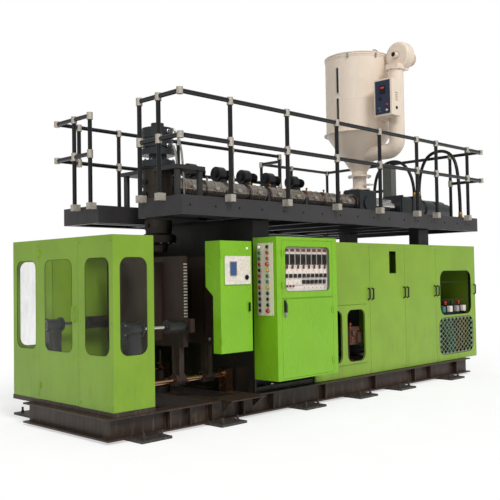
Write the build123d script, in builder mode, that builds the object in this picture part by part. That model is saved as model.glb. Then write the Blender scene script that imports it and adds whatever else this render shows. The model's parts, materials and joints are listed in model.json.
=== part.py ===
from build123d import *
import math
import os

# Blow moulding machine, in millimetres.
# X runs along the machine towards the drive motor, -Y faces the operator, Z is up from the floor.
# Stations are measured along X from the guard's end face and along Y from the guard's operator face.

# Running gap between pieces that are seated but not fused
SEAT = 0.3

# Base of welded I-beams on floor pads
PAD_THICKNESS = 25
PAD_LENGTH = 350
PAD_REACH = 182
PAD_STATIONS = (335, 1320, 2600, 3600, 4450, 5700)
BEAM_HEIGHT = 206
BEAM_WIDTH = 160
BEAM_FLANGE = 16
BEAM_WEB = 12
NEAR_BEAM_REACH = 18
BASE_LENGTH = 6370
END_BEAM_LENGTH = 1500
SILL_HEIGHT = 45
SILL_WIDTH = 80
SILL_LIP = 6
SHELF = (1300, 1790)
SHELF_REACH = 190
SHELF_THICKNESS = 12
STIFFENER_STATIONS = (640, 900, 1190, 1640, 2100, 3000, 4000, 4900, 5300, 6000)
STIFFENER_THICKNESS = 14
ANCHOR_RADIUS = 12
ANCHOR_HEIGHT = 58
ANCHOR_SPACING = 210
ANCHOR_OFFSET = 115
NUT_ACROSS = 36
NUT_HEIGHT = 20

# Guard round the clamping end, of folded sheet
GUARD_LENGTH = 469
GUARD_WIDTH = 1836
GUARD_HEIGHT = 1627
GUARD_DEPTH = 30
SHEET = 3
NEAR_WING = 575
GUARD_DOOR_WIDTH = 725
DOOR_GAP = 3
HINGE_RADIUS = 8
HINGE_LENGTH = 60
HINGE_LEAF = 25
HINGE_INSET = 110
WINDOW_SILL = 509
WINDOW_HEIGHT = 905
WINDOW_RADIUS = 85
NEAR_WINDOW_WIDTH = 385
DOOR_WINDOW_WIDTH = 496
SIDE_WINDOW_WIDTH = 303
NEAR_STILE = 69
SIDE_STILE = 80
FAR_STILE = 68
GUARD_HANDLE_INSET = 62
GUARD_HANDLE_DROP = 160
PANE_THICKNESS = 5
PANE_LAP = 12

# Machine axis, head and extruder
HEAD_RADIUS = 168
HEAD_FLANGE = 196
HEAD_BOSS = 215
DIE_BOTTOM = 1786
DIE_BORE = 42
DIE_CHAMFER = (14, 24)
DIE_NOSE = ((95, 0), (105, 70), (190, 100), (190, 180), (145, 205))
HEAD_WAIST = 145
WAIST_RISE = (40, 70)
FLANGE_CHAMFER = 8
MANDREL_DEPTH = 260
MANDREL_REACH = 6
MANDREL_WAIST = ((30, 14), (30, 40))
MANDREL_GUIDE = (60, 120)
MANDREL_STEM = ((26, 140), (26, 220), (0, 220))
MANDREL_TIP = 34
BRIDGE_BOTTOM = 2665
BRIDGE_THICKNESS = 45
BRIDGE_SPAN = (145, 265)
BRIDGE_HALF_WIDTH = 500
LEG_RADIUS = 34
RAM_NECK = 101
RAM_FOOT = 72
RAM_COLLAR = ((191, 136), (191, 202))
RAM_RINGS = ((160, 202), (160, 228), (174, 228), (174, 300), (160, 300), (160, 330), (174, 330), (174, 442))
RAM_CAP = ((73, 442), (73, 502), (0, 502))
RAM_BOLTS = 8
RAM_BOLT_CIRCLES = ((72, 176), (202, 175))
RAM_BOLT_SIZE = (13, 16)
BARREL_FLANGE = 130
FLANGE_THICKNESS = 36
FAN_OFFSET = 230
FAN_HEIGHT = 2775
BED_HEIGHT = 150
BED_RAIL = 40
SADDLE = 44
HOSE_RADIUS = 25
HOSE_PORT = 30
HOSE_FITTING_RADIUS = 32
HOSE_FITTING_HEIGHT = 150
HOSE_FITTINGS = ((6470, 140), (6480, 1750))
ARC_SHARE = 0.45
FRONT_HOSE_ENDS = (3050, 3050)
FRONT_HOSE_CREST = ((6545, 730), (6500, 320), 3400)
REAR_HOSE_ENDS = (3000, 2990)
REAR_HOSE_CREST = ((6550, 1210), (6525, 1570), 3340)
MOTOR_PORT = 98
MOTOR_PORT_SPREAD = 45
MACHINE_AXIS = 970
HEAD_STATION = 1305
BARREL_AXIS_HEIGHT = 2530
BARREL_RADIUS = 92
BARREL_BORE = 60
SCREW_CLEARANCE = 0.6
SCREW_CORE = 42
FLIGHT_PITCH = 190
FLIGHT_WIDTH = 16
BAND_THICKNESS = 20
BAND_LENGTH = 290
BAND_COUNT = 9
BLOWER_STATIONS = (1985, 2447, 2894, 3346, 3826)
BLOWER_RADIUS = 92
BLOWER_WIDTH = 110
FEED_LENGTH = 400
FEED_HALF_WIDTH = 150
FEED_TOP = 2728
FEED_CORNER = 40
COVER_LENGTH = 600
COVER_RADIUS = 112
GEARBOX_LENGTH = 620
GEARBOX_HALF_WIDTH = 165
GEARBOX_TOP = 2690
GEARBOX_CORNER = 50
GEARBOX_FOOT = (60, 40)
GEARBOX_RIBS = (0.05, 0.55)
RIB_PROUD = 12
TERMINAL_BOX_INSET = 15
TERMINAL_BOX_WIDTH = 145
TERMINAL_BOX_HEIGHT = 472
MOTOR_LENGTH = 970
MOTOR_RADIUS = 160
MOTOR_CUTS = (
    (0, 0), (0, 40), (30, 60), (30, 150), (8, 165), (8, 420),
    (22, 430), (22, 470), (8, 480), (8, 760), (40, 780),
)
MOTOR_NOSE = (20, 60)
PORT_RADIUS = 35

# Platform
PLATFORM_STATION = 750
PLATFORM_END = 6551
PLATFORM_REACH = 93
PLATFORM_WIDTH = 2126
PLATFORM_BOTTOM = 2114
EDGE_HEIGHT = 196
EDGE_WALL = 12
EDGE_FLANGE = 75
NOTCH_CLEARANCE = 60
NOTCH_HALF_WIDTH = 365
LANDING_STATION = 4969
LANDING_DEPTH = 745
JOIST_HEIGHT = 52
JOIST_WIDTH = 90
JOIST_STATIONS = (1700, 3000, 3700, 4400, 5000)
DECK_THICKNESS = 12
COLUMN_STATIONS = (2210, 5600)
COLUMN_WIDTH = 260
COLUMN_DEPTH = 160
COLUMN_OFFSET = 640
COLUMN_FOOT = 16

# Railing of pipe and cast fittings
PIPE_RADIUS = 24
RAIL_OFFSET = 52
TOP_RAIL_HEIGHT = 3310
MID_RAIL_HEIGHT = 2881
FITTING_RADIUS = 34
FITTING_HEIGHT = 92
CLAMP_HEIGHT = 74
CLAMP_WIDTH = 80
CLAMP_DROP = 44
CLAMP_PALM = 10
NEAR_POSTS = (1371, 2244, 3126, 3994, 4849, 5339, 6194)
FAR_POSTS = (996, 1573, 2540, 3540, 4540)
HEAD_END_POSTS = (189, 500)
FAR_END_POSTS = (1403, 1721)
DRIVE_END_POST = 374
DRIVE_FAR_POSTS = (1500, 2150)
LANDING_POSTS = (5650,)
LANDING_SIDE_POST = 2420

# Enclosure of lift-off panels
PANEL_STATION = 2890
PANEL_WIDTHS = (1111, 801, 779, 1124)
PANEL_SETBACK = 56
PANEL_DEPTH = 25
PANEL_TOP = 1897
PANEL_JOINT = 4
POST_SIZE = 50
ENCLOSURE_WIDTH = 1828
HANDLE_STATIONS = (3961, 4041, 4762, 4842, 5541, 5621, 6659)
HANDLE_HEIGHT = 1165
HANDLE_LENGTH = 164
HANDLE_REACH = 38
HANDLE_BAR = 14
SLOT_WINDOW = (4449, 4593, 1509, 1794)
END_WINDOW = (5705, 6570, 891, 1528)
MESH_WINDOW = (5660, 6608, 323, 852)
HATCH = (2956, 3947, 386, 1121)
HATCH_WINDOWS = ((3044, 3395, 421, 1056), (3508, 3859, 421, 1056))
MESH_COLUMNS = 9
MESH_ROWS = 7
MESH_STRAND = 14
GRILLE_LAP = 20
CORNER_RADIUS = 42
SLOT_RADIUS = 5
HATCH_WINDOW_RADIUS = 85
END_WINDOW_RADIUS = 120
HATCH_PROUD = 14

# Control cabinet
CABINET_STATION = 1869
CABINET_LENGTH = 1010
CABINET_REACH = 300
CABINET_DEPTH = 347
CABINET_BOTTOM = 384
CABINET_TOP = 1914
CABINET_WALL = 5
CABINET_FRAME = 34
CABINET_DOOR_THICKNESS = 18
CABINET_SPLIT = 1252
DOOR_MARGIN = 78
HANDLE_INSET = 40
CABINET_HANDLE_LENGTH = 178
DISPLAY_MARGIN = 60
DISPLAY_HEIGHT = 479
DISPLAY_RADIUS = 50
CONTROLLER_SETBACK = 40
CONTROLLER_DEPTH = 12
CONTROLLER_ROWS = ((8, 52, 48, 190), (8, 74, 128, 90), (10, 46, 46, -45), (10, 46, 40, -150))
CONTROL_PLATE = (-250, -17, 1075, 1850)
CONTROL_PLATE_THICKNESS = 4
BUTTON_PITCH = 62
BUTTON_ROWS = 12
BUTTON_EDGE = 42
BUTTON_COLUMNS = (-60, -175)
BUTTON_RADIUS = 14
BUTTON_HEIGHT = 16
STOP_RADIUS = 21
STOP_RIM = (6, 12, 18)
STOP_TRAVEL = 6
STOP_ROWS = (3, 11)

# Operator station
STATION_START = 1244
STATION_WIDTH = 453
STATION_REACH = 100
STATION_BOTTOM = 714
STATION_TOP = 1867
STATION_DEEP = 227
STATION_SHALLOW = 115
STATION_KNEE = 1300
STATION_SLOPE = 95
BRACKET_SETBACK = 60
BRACKET_HEIGHT = 400
SCREEN_FRAME = (1298, 1669, 1415, 1710)
SCREEN_PROUD = 8
KEYPAD = (1607, 1487, 26)
STATION_LOCK = (1127, 1227)

# Hopper dryer
HOPPER_RADIUS = 470
HOPPER_WALL = 6
FLANGE_LIP = 34
HOPPER_BOTTOM = 3532
HOPPER_TOP = 4650
CONE_BOTTOM = 2997
CONE_NECK = 54
SIGHT_STRIPS = ((3645, 4030), (4085, 4470))
SIGHT_WIDTH = 66
THROAT_RADIUS = 100
THROAT_FLANGE = 150
THROAT_LIP = 20
THROAT_FOOT = 20
THROAT_HEAD = 24
GATE_RISE = (60, 80)
GATE_REACH = 60
OUTLET_RADIUS = 110
LID_THICKNESS = 14
LID_CROWN = 60
LID_LIP = 10
DUCT_RADIUS = 108
DUCT_OFFSET = (-40, -695)
DUCT_BEND = 150
DUCT_FLANGE = (25, 12)
STRAP_HEIGHT = 40
DUCT_INLET_HEIGHT = 3235
BLOWER_HEIGHT = 4580
DRYER_BLOWER_RADIUS = 200
DRYER_BLOWER_WIDTH = 180
DRYER_BLOWER_SHIFT = 120
DRYER_SHOULDER = 30
DRYER_MOTOR_LENGTH = 190
INLET_RADIUS = 40
INLET_LENGTH = 85
DRYER_BOX_BOTTOM = 3673
DRYER_BOX_HEIGHT = 514
DRYER_BOX_SIZE = (215, 290)
DRYER_BOX_CORNER = 8
DRYER_PLATE_INSET = (18, 20)
DRYER_SWITCHES = ((150, -70), (110, 60), (70, -70), (70, 60))
DRYER_SWITCH_RADIUS = 14

# Clamping unit
CLAMP_AXIS_HEIGHT = 1000
CYLINDER_STATION = 285
CYLINDER_LENGTH = 213
CYLINDER_RADIUS = 62
CYLINDER_HEAD = (76, 26)
ROD_TAIL = 40
CYLINDER_OFFSET = 720
PEDESTAL = 90
ROD_RADIUS = 22
ROD_CLEARANCE = 0.3
HUB_RADIUS = 70
HUB_LENGTH = 195
HUB_NECK = 66
PLATEN_THICKNESS = 60
PLATEN_HALF_WIDTH = 680
PLATEN_BOTTOM = 775
PLATEN_TOP = 1720
MOULD_DAYLIGHT = 340
SHAFT_RADIUS = 32
SHAFT_HEIGHT = 430
SHAFT_OFFSET = 550
SHAFT_START = 330
SHAFT_END = 1820
PLATEN_BUSH = 0.4
BUSH_RADIUS = 62
BUSH_OVERHANG = 40
RIB_OFFSET = 300
RIB_WIDTH = 60
RIB_DEPTH = 90
STAND = 110
PIN_FOOT = 110
PIN_RADIUS = 16
PIN_STEPS = (70, 90, 240, 260, 430, 460)
TANK_STATION = 5790
TANK_OFFSET = -360
TANK_SIZE = (800, 900, 620)
PUMP_RADIUS = 130
VALVE_COUNT = 4
VALVE_SIZE = (96, 120, 110)
MANIFOLD_HEIGHT = 60
CROSS_BEAM_STATIONS = (390, 1305, 1790, 2210, 3700, 5600, 6290)
BULKHEAD_THICKNESS = 6

# Stations turned into the model's own frame, centred under the machine
CABINET_HANDLE = 28
BASE_TOE = 81
FEED_START = 4860
DRIVE_END = FEED_START + FEED_LENGTH + COVER_LENGTH + GEARBOX_LENGTH + MOTOR_LENGTH
LANDING_EDGE = PLATFORM_WIDTH - PLATFORM_REACH + LANDING_DEPTH
REAR_REACH = LANDING_EDGE + RAIL_OFFSET + FITTING_RADIUS
X0 = (BASE_TOE - DRIVE_END) / 2
Y0 = (CABINET_REACH + CABINET_HANDLE - REAR_REACH) / 2
AXIS_Y = Y0 + MACHINE_AXIS
HEAD_X = X0 + HEAD_STATION
HOPPER_X = X0 + FEED_START + FEED_LENGTH / 2
BASE_TOP = PAD_THICKNESS + BEAM_HEIGHT
GUARD_BOTTOM = BASE_TOP + SILL_HEIGHT
GUARD_TOP = GUARD_BOTTOM + GUARD_HEIGHT
WINDOW_MID = GUARD_BOTTOM + WINDOW_SILL + WINDOW_HEIGHT / 2
DECK_TOP = PLATFORM_BOTTOM + EDGE_WALL + JOIST_HEIGHT + DECK_THICKNESS

os.makedirs("parts", exist_ok=True)


def block(x, y, z, mode=Mode.ADD):
    """Adds a block to the part in hand; x, y and z are pairs of low and high."""
    with Locations(((x[0] + x[1]) / 2, (y[0] + y[1]) / 2, (z[0] + z[1]) / 2)):
        Box(x[1] - x[0], y[1] - y[0], z[1] - z[0], mode=mode)


def along_x(x, y, z):
    """Returns the plane that faces along X, with Y to its right and Z up."""
    return Plane(origin=(x, y, z), x_dir=(0, 1, 0), z_dir=(1, 0, 0))


def along_y(x, y, z):
    """Returns the plane that faces along Y, with -X to its right and Z up."""
    return Plane(origin=(x, y, z), x_dir=(-1, 0, 0), z_dir=(0, 1, 0))


def knuckles(x, y, z):
    """Adds two hinge barrels on an upright axis, inset from the ends of the door's height z."""
    for low in (z[0] + HINGE_INSET, z[1] - HINGE_INSET - HINGE_LENGTH):
        with BuildSketch(Plane((x, y, low))) as section:
            Circle(HINGE_RADIUS)
        extrude(section.sketch, amount=HINGE_LENGTH)


def leaves(x, y, z):
    """Adds the two leaves that carry the barrels of a door, on its face."""
    for low in (z[0] + HINGE_INSET, z[1] - HINGE_INSET - HINGE_LENGTH):
        block(x, y, (low, low + HINGE_LENGTH))


def disc(plane, radius, length, hole=0, mode=Mode.ADD):
    """Adds a round bar, or a tube where a hole's radius is given, that starts at the plane."""
    with BuildSketch(plane) as section:
        Circle(radius)
        if hole:
            Circle(hole, mode=Mode.SUBTRACT)
    extrude(section.sketch, amount=length, mode=mode)


def turned(plane, outline, mode=Mode.ADD):
    """Adds a turned body: outline is radius and height points, round the plane's own Y."""
    with BuildSketch(plane) as section:
        with BuildLine():
            Polyline(*outline, close=True)
        make_face()
    revolve(section.sketch, axis=Axis(plane.origin, plane.y_dir), mode=mode)


def upright(x, y, z=0):
    """Returns the plane whose Y stands up on the point, for bodies turned round a vertical."""
    return Plane(origin=(x, y, z), x_dir=(1, 0, 0), z_dir=(0, -1, 0))


def lying(x, y, z):
    """Returns the plane whose Y runs along the machine, for bodies turned round a level axis."""
    return Plane(origin=(x, y, z), x_dir=(0, 0, 1), z_dir=(0, 1, 0))


def window_x(x, y, z, width, height, radius, mode=Mode.SUBTRACT, depth=None):
    """Cuts a rounded window through a sheet that faces along X, or adds a pane of that outline."""
    with BuildSketch(Plane(origin=(x, y, z), x_dir=(0, 1, 0), z_dir=(1, 0, 0))) as opening:
        RectangleRounded(width, height, radius)
    extrude(opening.sketch, amount=depth or GUARD_DEPTH, mode=mode)


def window_y(x, y, z, width, height, radius, mode=Mode.SUBTRACT, depth=None):
    """Cuts a rounded window through a sheet that faces along Y, or adds a pane of that outline."""
    with BuildSketch(Plane(origin=(x, y, z), x_dir=(-1, 0, 0), z_dir=(0, 1, 0))) as opening:
        RectangleRounded(width, height, radius)
    extrude(opening.sketch, amount=depth or GUARD_DEPTH, mode=mode)


def i_beam(plane, length):
    """Adds a beam of I-section that starts at the plane and stands on its lower flange."""
    with BuildSketch(plane) as section:
        with Locations((0, BEAM_FLANGE / 2), (0, BEAM_HEIGHT - BEAM_FLANGE / 2)):
            Rectangle(BEAM_WIDTH, BEAM_FLANGE)
        with Locations((0, BEAM_HEIGHT / 2)):
            Rectangle(BEAM_WEB, BEAM_HEIGHT)
    extrude(section.sketch, amount=length)


def pan(x, y, z):
    """Adds a sheet panel folded back round its edges, its face towards -Y."""
    block(x, y, z)
    inner_x = (x[0] + SHEET, x[1] - SHEET)
    inner_z = (z[0] + SHEET, z[1] - SHEET)
    block(inner_x, (y[0] + SHEET, y[1]), inner_z, Mode.SUBTRACT)


# Base: separate welded members, the near and end beams' webs meet at the corner
NEAR_WEB = Y0 - NEAR_BEAM_REACH + BEAM_WIDTH / 2
FAR_WEB = 2 * AXIS_Y - NEAR_WEB
END_WEB = X0 - BASE_TOE + BEAM_WIDTH / 2
HALF_BEAM = BEAM_WIDTH / 2
GUARD_FAR = Y0 + GUARD_WIDTH
with BuildPart() as base_frame:
    i_beam(along_x(END_WEB - HALF_BEAM, NEAR_WEB, PAD_THICKNESS), BASE_LENGTH + BASE_TOE)
    web_z = (PAD_THICKNESS + BEAM_FLANGE, BASE_TOP - BEAM_FLANGE)
    toe_y = (NEAR_WEB - HALF_BEAM, NEAR_WEB + HALF_BEAM)
    block((END_WEB - HALF_BEAM, END_WEB - BEAM_WEB / 2), toe_y, web_z, Mode.SUBTRACT)
    corner_y = (NEAR_WEB, NEAR_WEB + HALF_BEAM)
    block((END_WEB - BEAM_WEB / 2, END_WEB + BEAM_WEB / 2), corner_y, web_z)
    for station in STIFFENER_STATIONS:
        stiffener_x = (X0 + station, X0 + station + STIFFENER_THICKNESS)
        block(stiffener_x, (toe_y[0] + BEAM_WEB, NEAR_WEB), web_z)
    cross_y = (toe_y[1] + SEAT, FAR_WEB - HALF_BEAM - SEAT)
    i_beam(along_y(END_WEB, cross_y[0], PAD_THICKNESS), Y0 + END_BEAM_LENGTH - cross_y[0])
    for station in CROSS_BEAM_STATIONS:
        i_beam(along_y(X0 + station, cross_y[0], PAD_THICKNESS), cross_y[1] - cross_y[0])
    far_start = X0 + CROSS_BEAM_STATIONS[0] - HALF_BEAM
    i_beam(along_x(far_start, FAR_WEB, PAD_THICKNESS), X0 + BASE_LENGTH - far_start)
    sill_z = (BASE_TOP + SEAT, GUARD_BOTTOM)
    block((X0 - SILL_LIP, X0 + SILL_WIDTH), (Y0 - SILL_LIP, GUARD_FAR + SILL_LIP), sill_z)
    side_sill_x = (X0 + SILL_WIDTH + SEAT, X0 + GUARD_LENGTH)
    block(side_sill_x, (Y0 - SILL_LIP, Y0 + SILL_WIDTH), sill_z)
    block(side_sill_x, (GUARD_FAR - SILL_WIDTH, GUARD_FAR + SILL_LIP), sill_z)
    shelf_x = (X0 + SHELF[0], X0 + SHELF[1])
    shelf_y = (Y0 - SHELF_REACH, toe_y[1])
    block(shelf_x, shelf_y, (BASE_TOP + SEAT, BASE_TOP + SHELF_THICKNESS))
    for gusset in (SHELF[0] + BEAM_FLANGE, SHELF[1] - 2 * BEAM_FLANGE):
        brace_y = toe_y[0] - SEAT
        with BuildSketch(along_x(X0 + gusset, 0, BASE_TOP + SEAT)) as brace:
            with BuildLine():
                Polyline((brace_y, 0), (shelf_y[0] + BEAM_FLANGE, 0), (brace_y, -BEAM_HEIGHT * 0.6), close=True)
            make_face()
        extrude(brace.sketch, amount=STIFFENER_THICKNESS)
base_frame.part.label = "base_frame"
export_step(base_frame.part, "parts/base_frame.step")

# Floor pads with their anchor bolts, under the toes of both long beams
with BuildPart() as floor_pads:
    for station in PAD_STATIONS:
        for web, side in ((NEAR_WEB, -1), (FAR_WEB, 1)):
            toe = web + side * HALF_BEAM
            pad_y = sorted((web - side * HALF_BEAM, toe + side * PAD_REACH))
            pad_x = (X0 + station - PAD_LENGTH / 2, X0 + station + PAD_LENGTH / 2)
            block(pad_x, pad_y, (0, PAD_THICKNESS))
            for shift in (-ANCHOR_SPACING / 2, ANCHOR_SPACING / 2):
                bolt = Plane((X0 + station + shift, toe + side * ANCHOR_OFFSET, PAD_THICKNESS))
                disc(bolt, ANCHOR_RADIUS, ANCHOR_HEIGHT)
                with BuildSketch(bolt) as nut:
                    RegularPolygon(NUT_ACROSS / 2, 6)
                extrude(nut.sketch, amount=NUT_HEIGHT)
floor_pads.part.label = "floor_pads"
export_step(floor_pads.part, "parts/floor_pads.step")

# Fixed guard wings: each is one sheet folded round the corner, with a window in each face
INNER_Z = (GUARD_BOTTOM + SHEET, GUARD_TOP - SHEET)
NEAR_WINDOW_Y = Y0 + NEAR_STILE + NEAR_WINDOW_WIDTH / 2
SIDE_WINDOW_X = X0 + SIDE_STILE + SIDE_WINDOW_WIDTH / 2
FAR_WING = Y0 + NEAR_WING + GUARD_DOOR_WIDTH
FAR_WINDOW_Y = FAR_WING + FAR_STILE + NEAR_WINDOW_WIDTH / 2


def guard_wing(y_corner, y_end, window_mid):
    """Adds a guard wing that runs from its corner to its free edge, folded inwards at every edge."""
    side = 1 if y_end > y_corner else -1
    end_y = sorted((y_corner, y_end))
    side_y = sorted((y_corner, y_corner + side * GUARD_DEPTH))
    wing_z = (GUARD_BOTTOM, GUARD_TOP)
    block((X0, X0 + GUARD_DEPTH), end_y, wing_z)
    block((X0 + GUARD_DEPTH, X0 + GUARD_LENGTH), side_y, wing_z)
    pocket_y = sorted((y_corner + side * SHEET, y_end - side * SHEET))
    block((X0 + SHEET, X0 + GUARD_DEPTH), pocket_y, INNER_Z, Mode.SUBTRACT)
    pocket_y = sorted((y_corner + side * SHEET, y_corner + side * GUARD_DEPTH))
    block((X0 + SHEET, X0 + GUARD_LENGTH - SHEET), pocket_y, INNER_Z, Mode.SUBTRACT)
    window_x(X0, window_mid, WINDOW_MID, NEAR_WINDOW_WIDTH, WINDOW_HEIGHT, WINDOW_RADIUS)


with BuildPart() as guard_near_wing:
    guard_wing(Y0, Y0 + NEAR_WING, NEAR_WINDOW_Y)
    window_y(SIDE_WINDOW_X, Y0, WINDOW_MID, SIDE_WINDOW_WIDTH, WINDOW_HEIGHT, WINDOW_RADIUS)
guard_near_wing.part.label = "guard_near_wing"
export_step(guard_near_wing.part, "parts/guard_near_wing.step")

with BuildPart() as guard_far_wing:
    guard_wing(GUARD_FAR, FAR_WING, FAR_WINDOW_Y)
    far_sheet_y = GUARD_FAR - GUARD_DEPTH
    window_y(SIDE_WINDOW_X, far_sheet_y, WINDOW_MID, SIDE_WINDOW_WIDTH, WINDOW_HEIGHT, WINDOW_RADIUS)
guard_far_wing.part.label = "guard_far_wing"
export_step(guard_far_wing.part, "parts/guard_far_wing.step")

# Clear panes, each seated on the inside of its sheet
PANE_HEIGHT = WINDOW_HEIGHT + 2 * PANE_LAP
with BuildPart() as guard_panes:
    for mid in (NEAR_WINDOW_Y, FAR_WINDOW_Y):
        pane_width = NEAR_WINDOW_WIDTH + 2 * PANE_LAP
        pane_x = X0 + SHEET
        window_x(pane_x, mid, WINDOW_MID, pane_width, PANE_HEIGHT, WINDOW_RADIUS, Mode.ADD, PANE_THICKNESS)
    for pane_y in (Y0 + SHEET, GUARD_FAR - SHEET - PANE_THICKNESS):
        pane_width = SIDE_WINDOW_WIDTH + 2 * PANE_LAP
        side_pane = (SIDE_WINDOW_X, pane_y, WINDOW_MID)
        window_y(*side_pane, pane_width, PANE_HEIGHT, WINDOW_RADIUS, Mode.ADD, PANE_THICKNESS)
guard_panes.part.label = "guard_panes"
export_step(guard_panes.part, "parts/guard_panes.step")

# Guard door in the end face: a folded sheet with its window, handle and pane
DOOR_Y = (Y0 + NEAR_WING + DOOR_GAP, FAR_WING - DOOR_GAP)
DOOR_MID = (DOOR_Y[0] + DOOR_Y[1]) / 2
DOOR_Z = (GUARD_BOTTOM + DOOR_GAP, GUARD_TOP)
with BuildPart() as guard_door:
    block((X0, X0 + GUARD_DEPTH), DOOR_Y, DOOR_Z)
    door_inner_y = (DOOR_Y[0] + SHEET, DOOR_Y[1] - SHEET)
    door_inner_z = (DOOR_Z[0] + SHEET, DOOR_Z[1] - SHEET)
    block((X0 + SHEET, X0 + GUARD_DEPTH), door_inner_y, door_inner_z, Mode.SUBTRACT)
    window_x(X0, DOOR_MID, WINDOW_MID, DOOR_WINDOW_WIDTH, WINDOW_HEIGHT, WINDOW_RADIUS)
    handle_y = DOOR_Y[0] + GUARD_HANDLE_INSET
    with BuildSketch(Plane.XZ.offset(-handle_y)) as grip:
        with BuildLine():
            grip_low = WINDOW_MID - GUARD_HANDLE_DROP
            grip_high = grip_low + HANDLE_LENGTH
            Polyline(
                (X0, grip_low), (X0 - HANDLE_REACH, grip_low + HANDLE_BAR),
                (X0 - HANDLE_REACH, grip_high - HANDLE_BAR), (X0, grip_high),
                (X0, grip_high - HANDLE_BAR), (X0 - HANDLE_REACH + HANDLE_BAR, grip_high - 2 * HANDLE_BAR),
                (X0 - HANDLE_REACH + HANDLE_BAR, grip_low + 2 * HANDLE_BAR), (X0, grip_low + HANDLE_BAR),
                close=True,
            )
        make_face()
    extrude(grip.sketch, amount=HANDLE_BAR)
    knuckles(X0 - HINGE_RADIUS - SEAT, FAR_WING, DOOR_Z)
    leaves((X0 - HINGE_RADIUS, X0), (DOOR_Y[1] - HINGE_LEAF, DOOR_Y[1]), DOOR_Z)
guard_door.part.label = "guard_door"
export_step(guard_door.part, "parts/guard_door.step")

with BuildPart() as guard_door_pane:
    pane_width = DOOR_WINDOW_WIDTH + 2 * PANE_LAP
    window_x(X0 + SHEET, DOOR_MID, WINDOW_MID, pane_width, PANE_HEIGHT, WINDOW_RADIUS, Mode.ADD, PANE_THICKNESS)
guard_door_pane.part.label = "guard_door_pane"
export_step(guard_door_pane.part, "parts/guard_door_pane.step")

# Platform edge, with the notch for the head and the landing at the back
PLATFORM_X = (X0 + PLATFORM_STATION, X0 + PLATFORM_END)
PLATFORM_NEAR = Y0 - PLATFORM_REACH
PLATFORM_FAR = PLATFORM_NEAR + PLATFORM_WIDTH
LANDING_X = X0 + LANDING_STATION
LANDING_FAR = PLATFORM_FAR + LANDING_DEPTH
NOTCH_X = HEAD_X + HEAD_FLANGE + NOTCH_CLEARANCE
NOTCH_Y = (AXIS_Y - NOTCH_HALF_WIDTH, AXIS_Y + NOTCH_HALF_WIDTH)


def platform_outline(inset=0):
    """Returns the platform's outline as a face at the floor, moved in all round by the inset."""
    with BuildSketch(Plane.XY) as outline:
        with BuildLine():
            Polyline(
                (PLATFORM_X[0], PLATFORM_NEAR), (PLATFORM_X[1], PLATFORM_NEAR), (PLATFORM_X[1], LANDING_FAR),
                (LANDING_X, LANDING_FAR), (LANDING_X, PLATFORM_FAR), (PLATFORM_X[0], PLATFORM_FAR),
                (PLATFORM_X[0], NOTCH_Y[1]), (NOTCH_X, NOTCH_Y[1]), (NOTCH_X, NOTCH_Y[0]),
                (PLATFORM_X[0], NOTCH_Y[0]), close=True,
            )
        make_face()
        if inset:
            offset(amount=-inset, kind=Kind.INTERSECTION)
    return outline.sketch


with BuildPart() as platform_edge:
    edge_z = (PLATFORM_BOTTOM, PLATFORM_BOTTOM + EDGE_HEIGHT)
    extrude(platform_outline().moved(Location((0, 0, edge_z[0]))), amount=EDGE_HEIGHT)
    hollow = platform_outline(EDGE_WALL).moved(Location((0, 0, edge_z[0] + EDGE_WALL)))
    extrude(hollow, amount=EDGE_HEIGHT, mode=Mode.SUBTRACT)
    well = platform_outline(EDGE_FLANGE).moved(Location((0, 0, edge_z[0])))
    extrude(well, amount=EDGE_HEIGHT, mode=Mode.SUBTRACT)
    # weld seams, where the members that run across butt on those that run along
    near_seam = PLATFORM_NEAR + EDGE_FLANGE
    far_seam = PLATFORM_FAR - EDGE_FLANGE
    landing_seam = LANDING_FAR - EDGE_FLANGE
    seams = (
        (PLATFORM_X[0], near_seam), (PLATFORM_X[0], NOTCH_Y[0] - EDGE_FLANGE), (NOTCH_X, NOTCH_Y[0]),
        (NOTCH_X, NOTCH_Y[1]), (PLATFORM_X[0], NOTCH_Y[1] + EDGE_FLANGE), (PLATFORM_X[0], far_seam),
        (LANDING_X, PLATFORM_FAR), (LANDING_X, landing_seam),
        (PLATFORM_X[1] - EDGE_FLANGE, near_seam), (PLATFORM_X[1] - EDGE_FLANGE, landing_seam),
    )
    for seam_x, seam_y in seams:
        block((seam_x, seam_x + EDGE_FLANGE), (seam_y, seam_y + SEAT), edge_z, Mode.SUBTRACT)
platform_edge.part.label = "platform_edge"
export_step(platform_edge.part, "parts/platform_edge.step")

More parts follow.
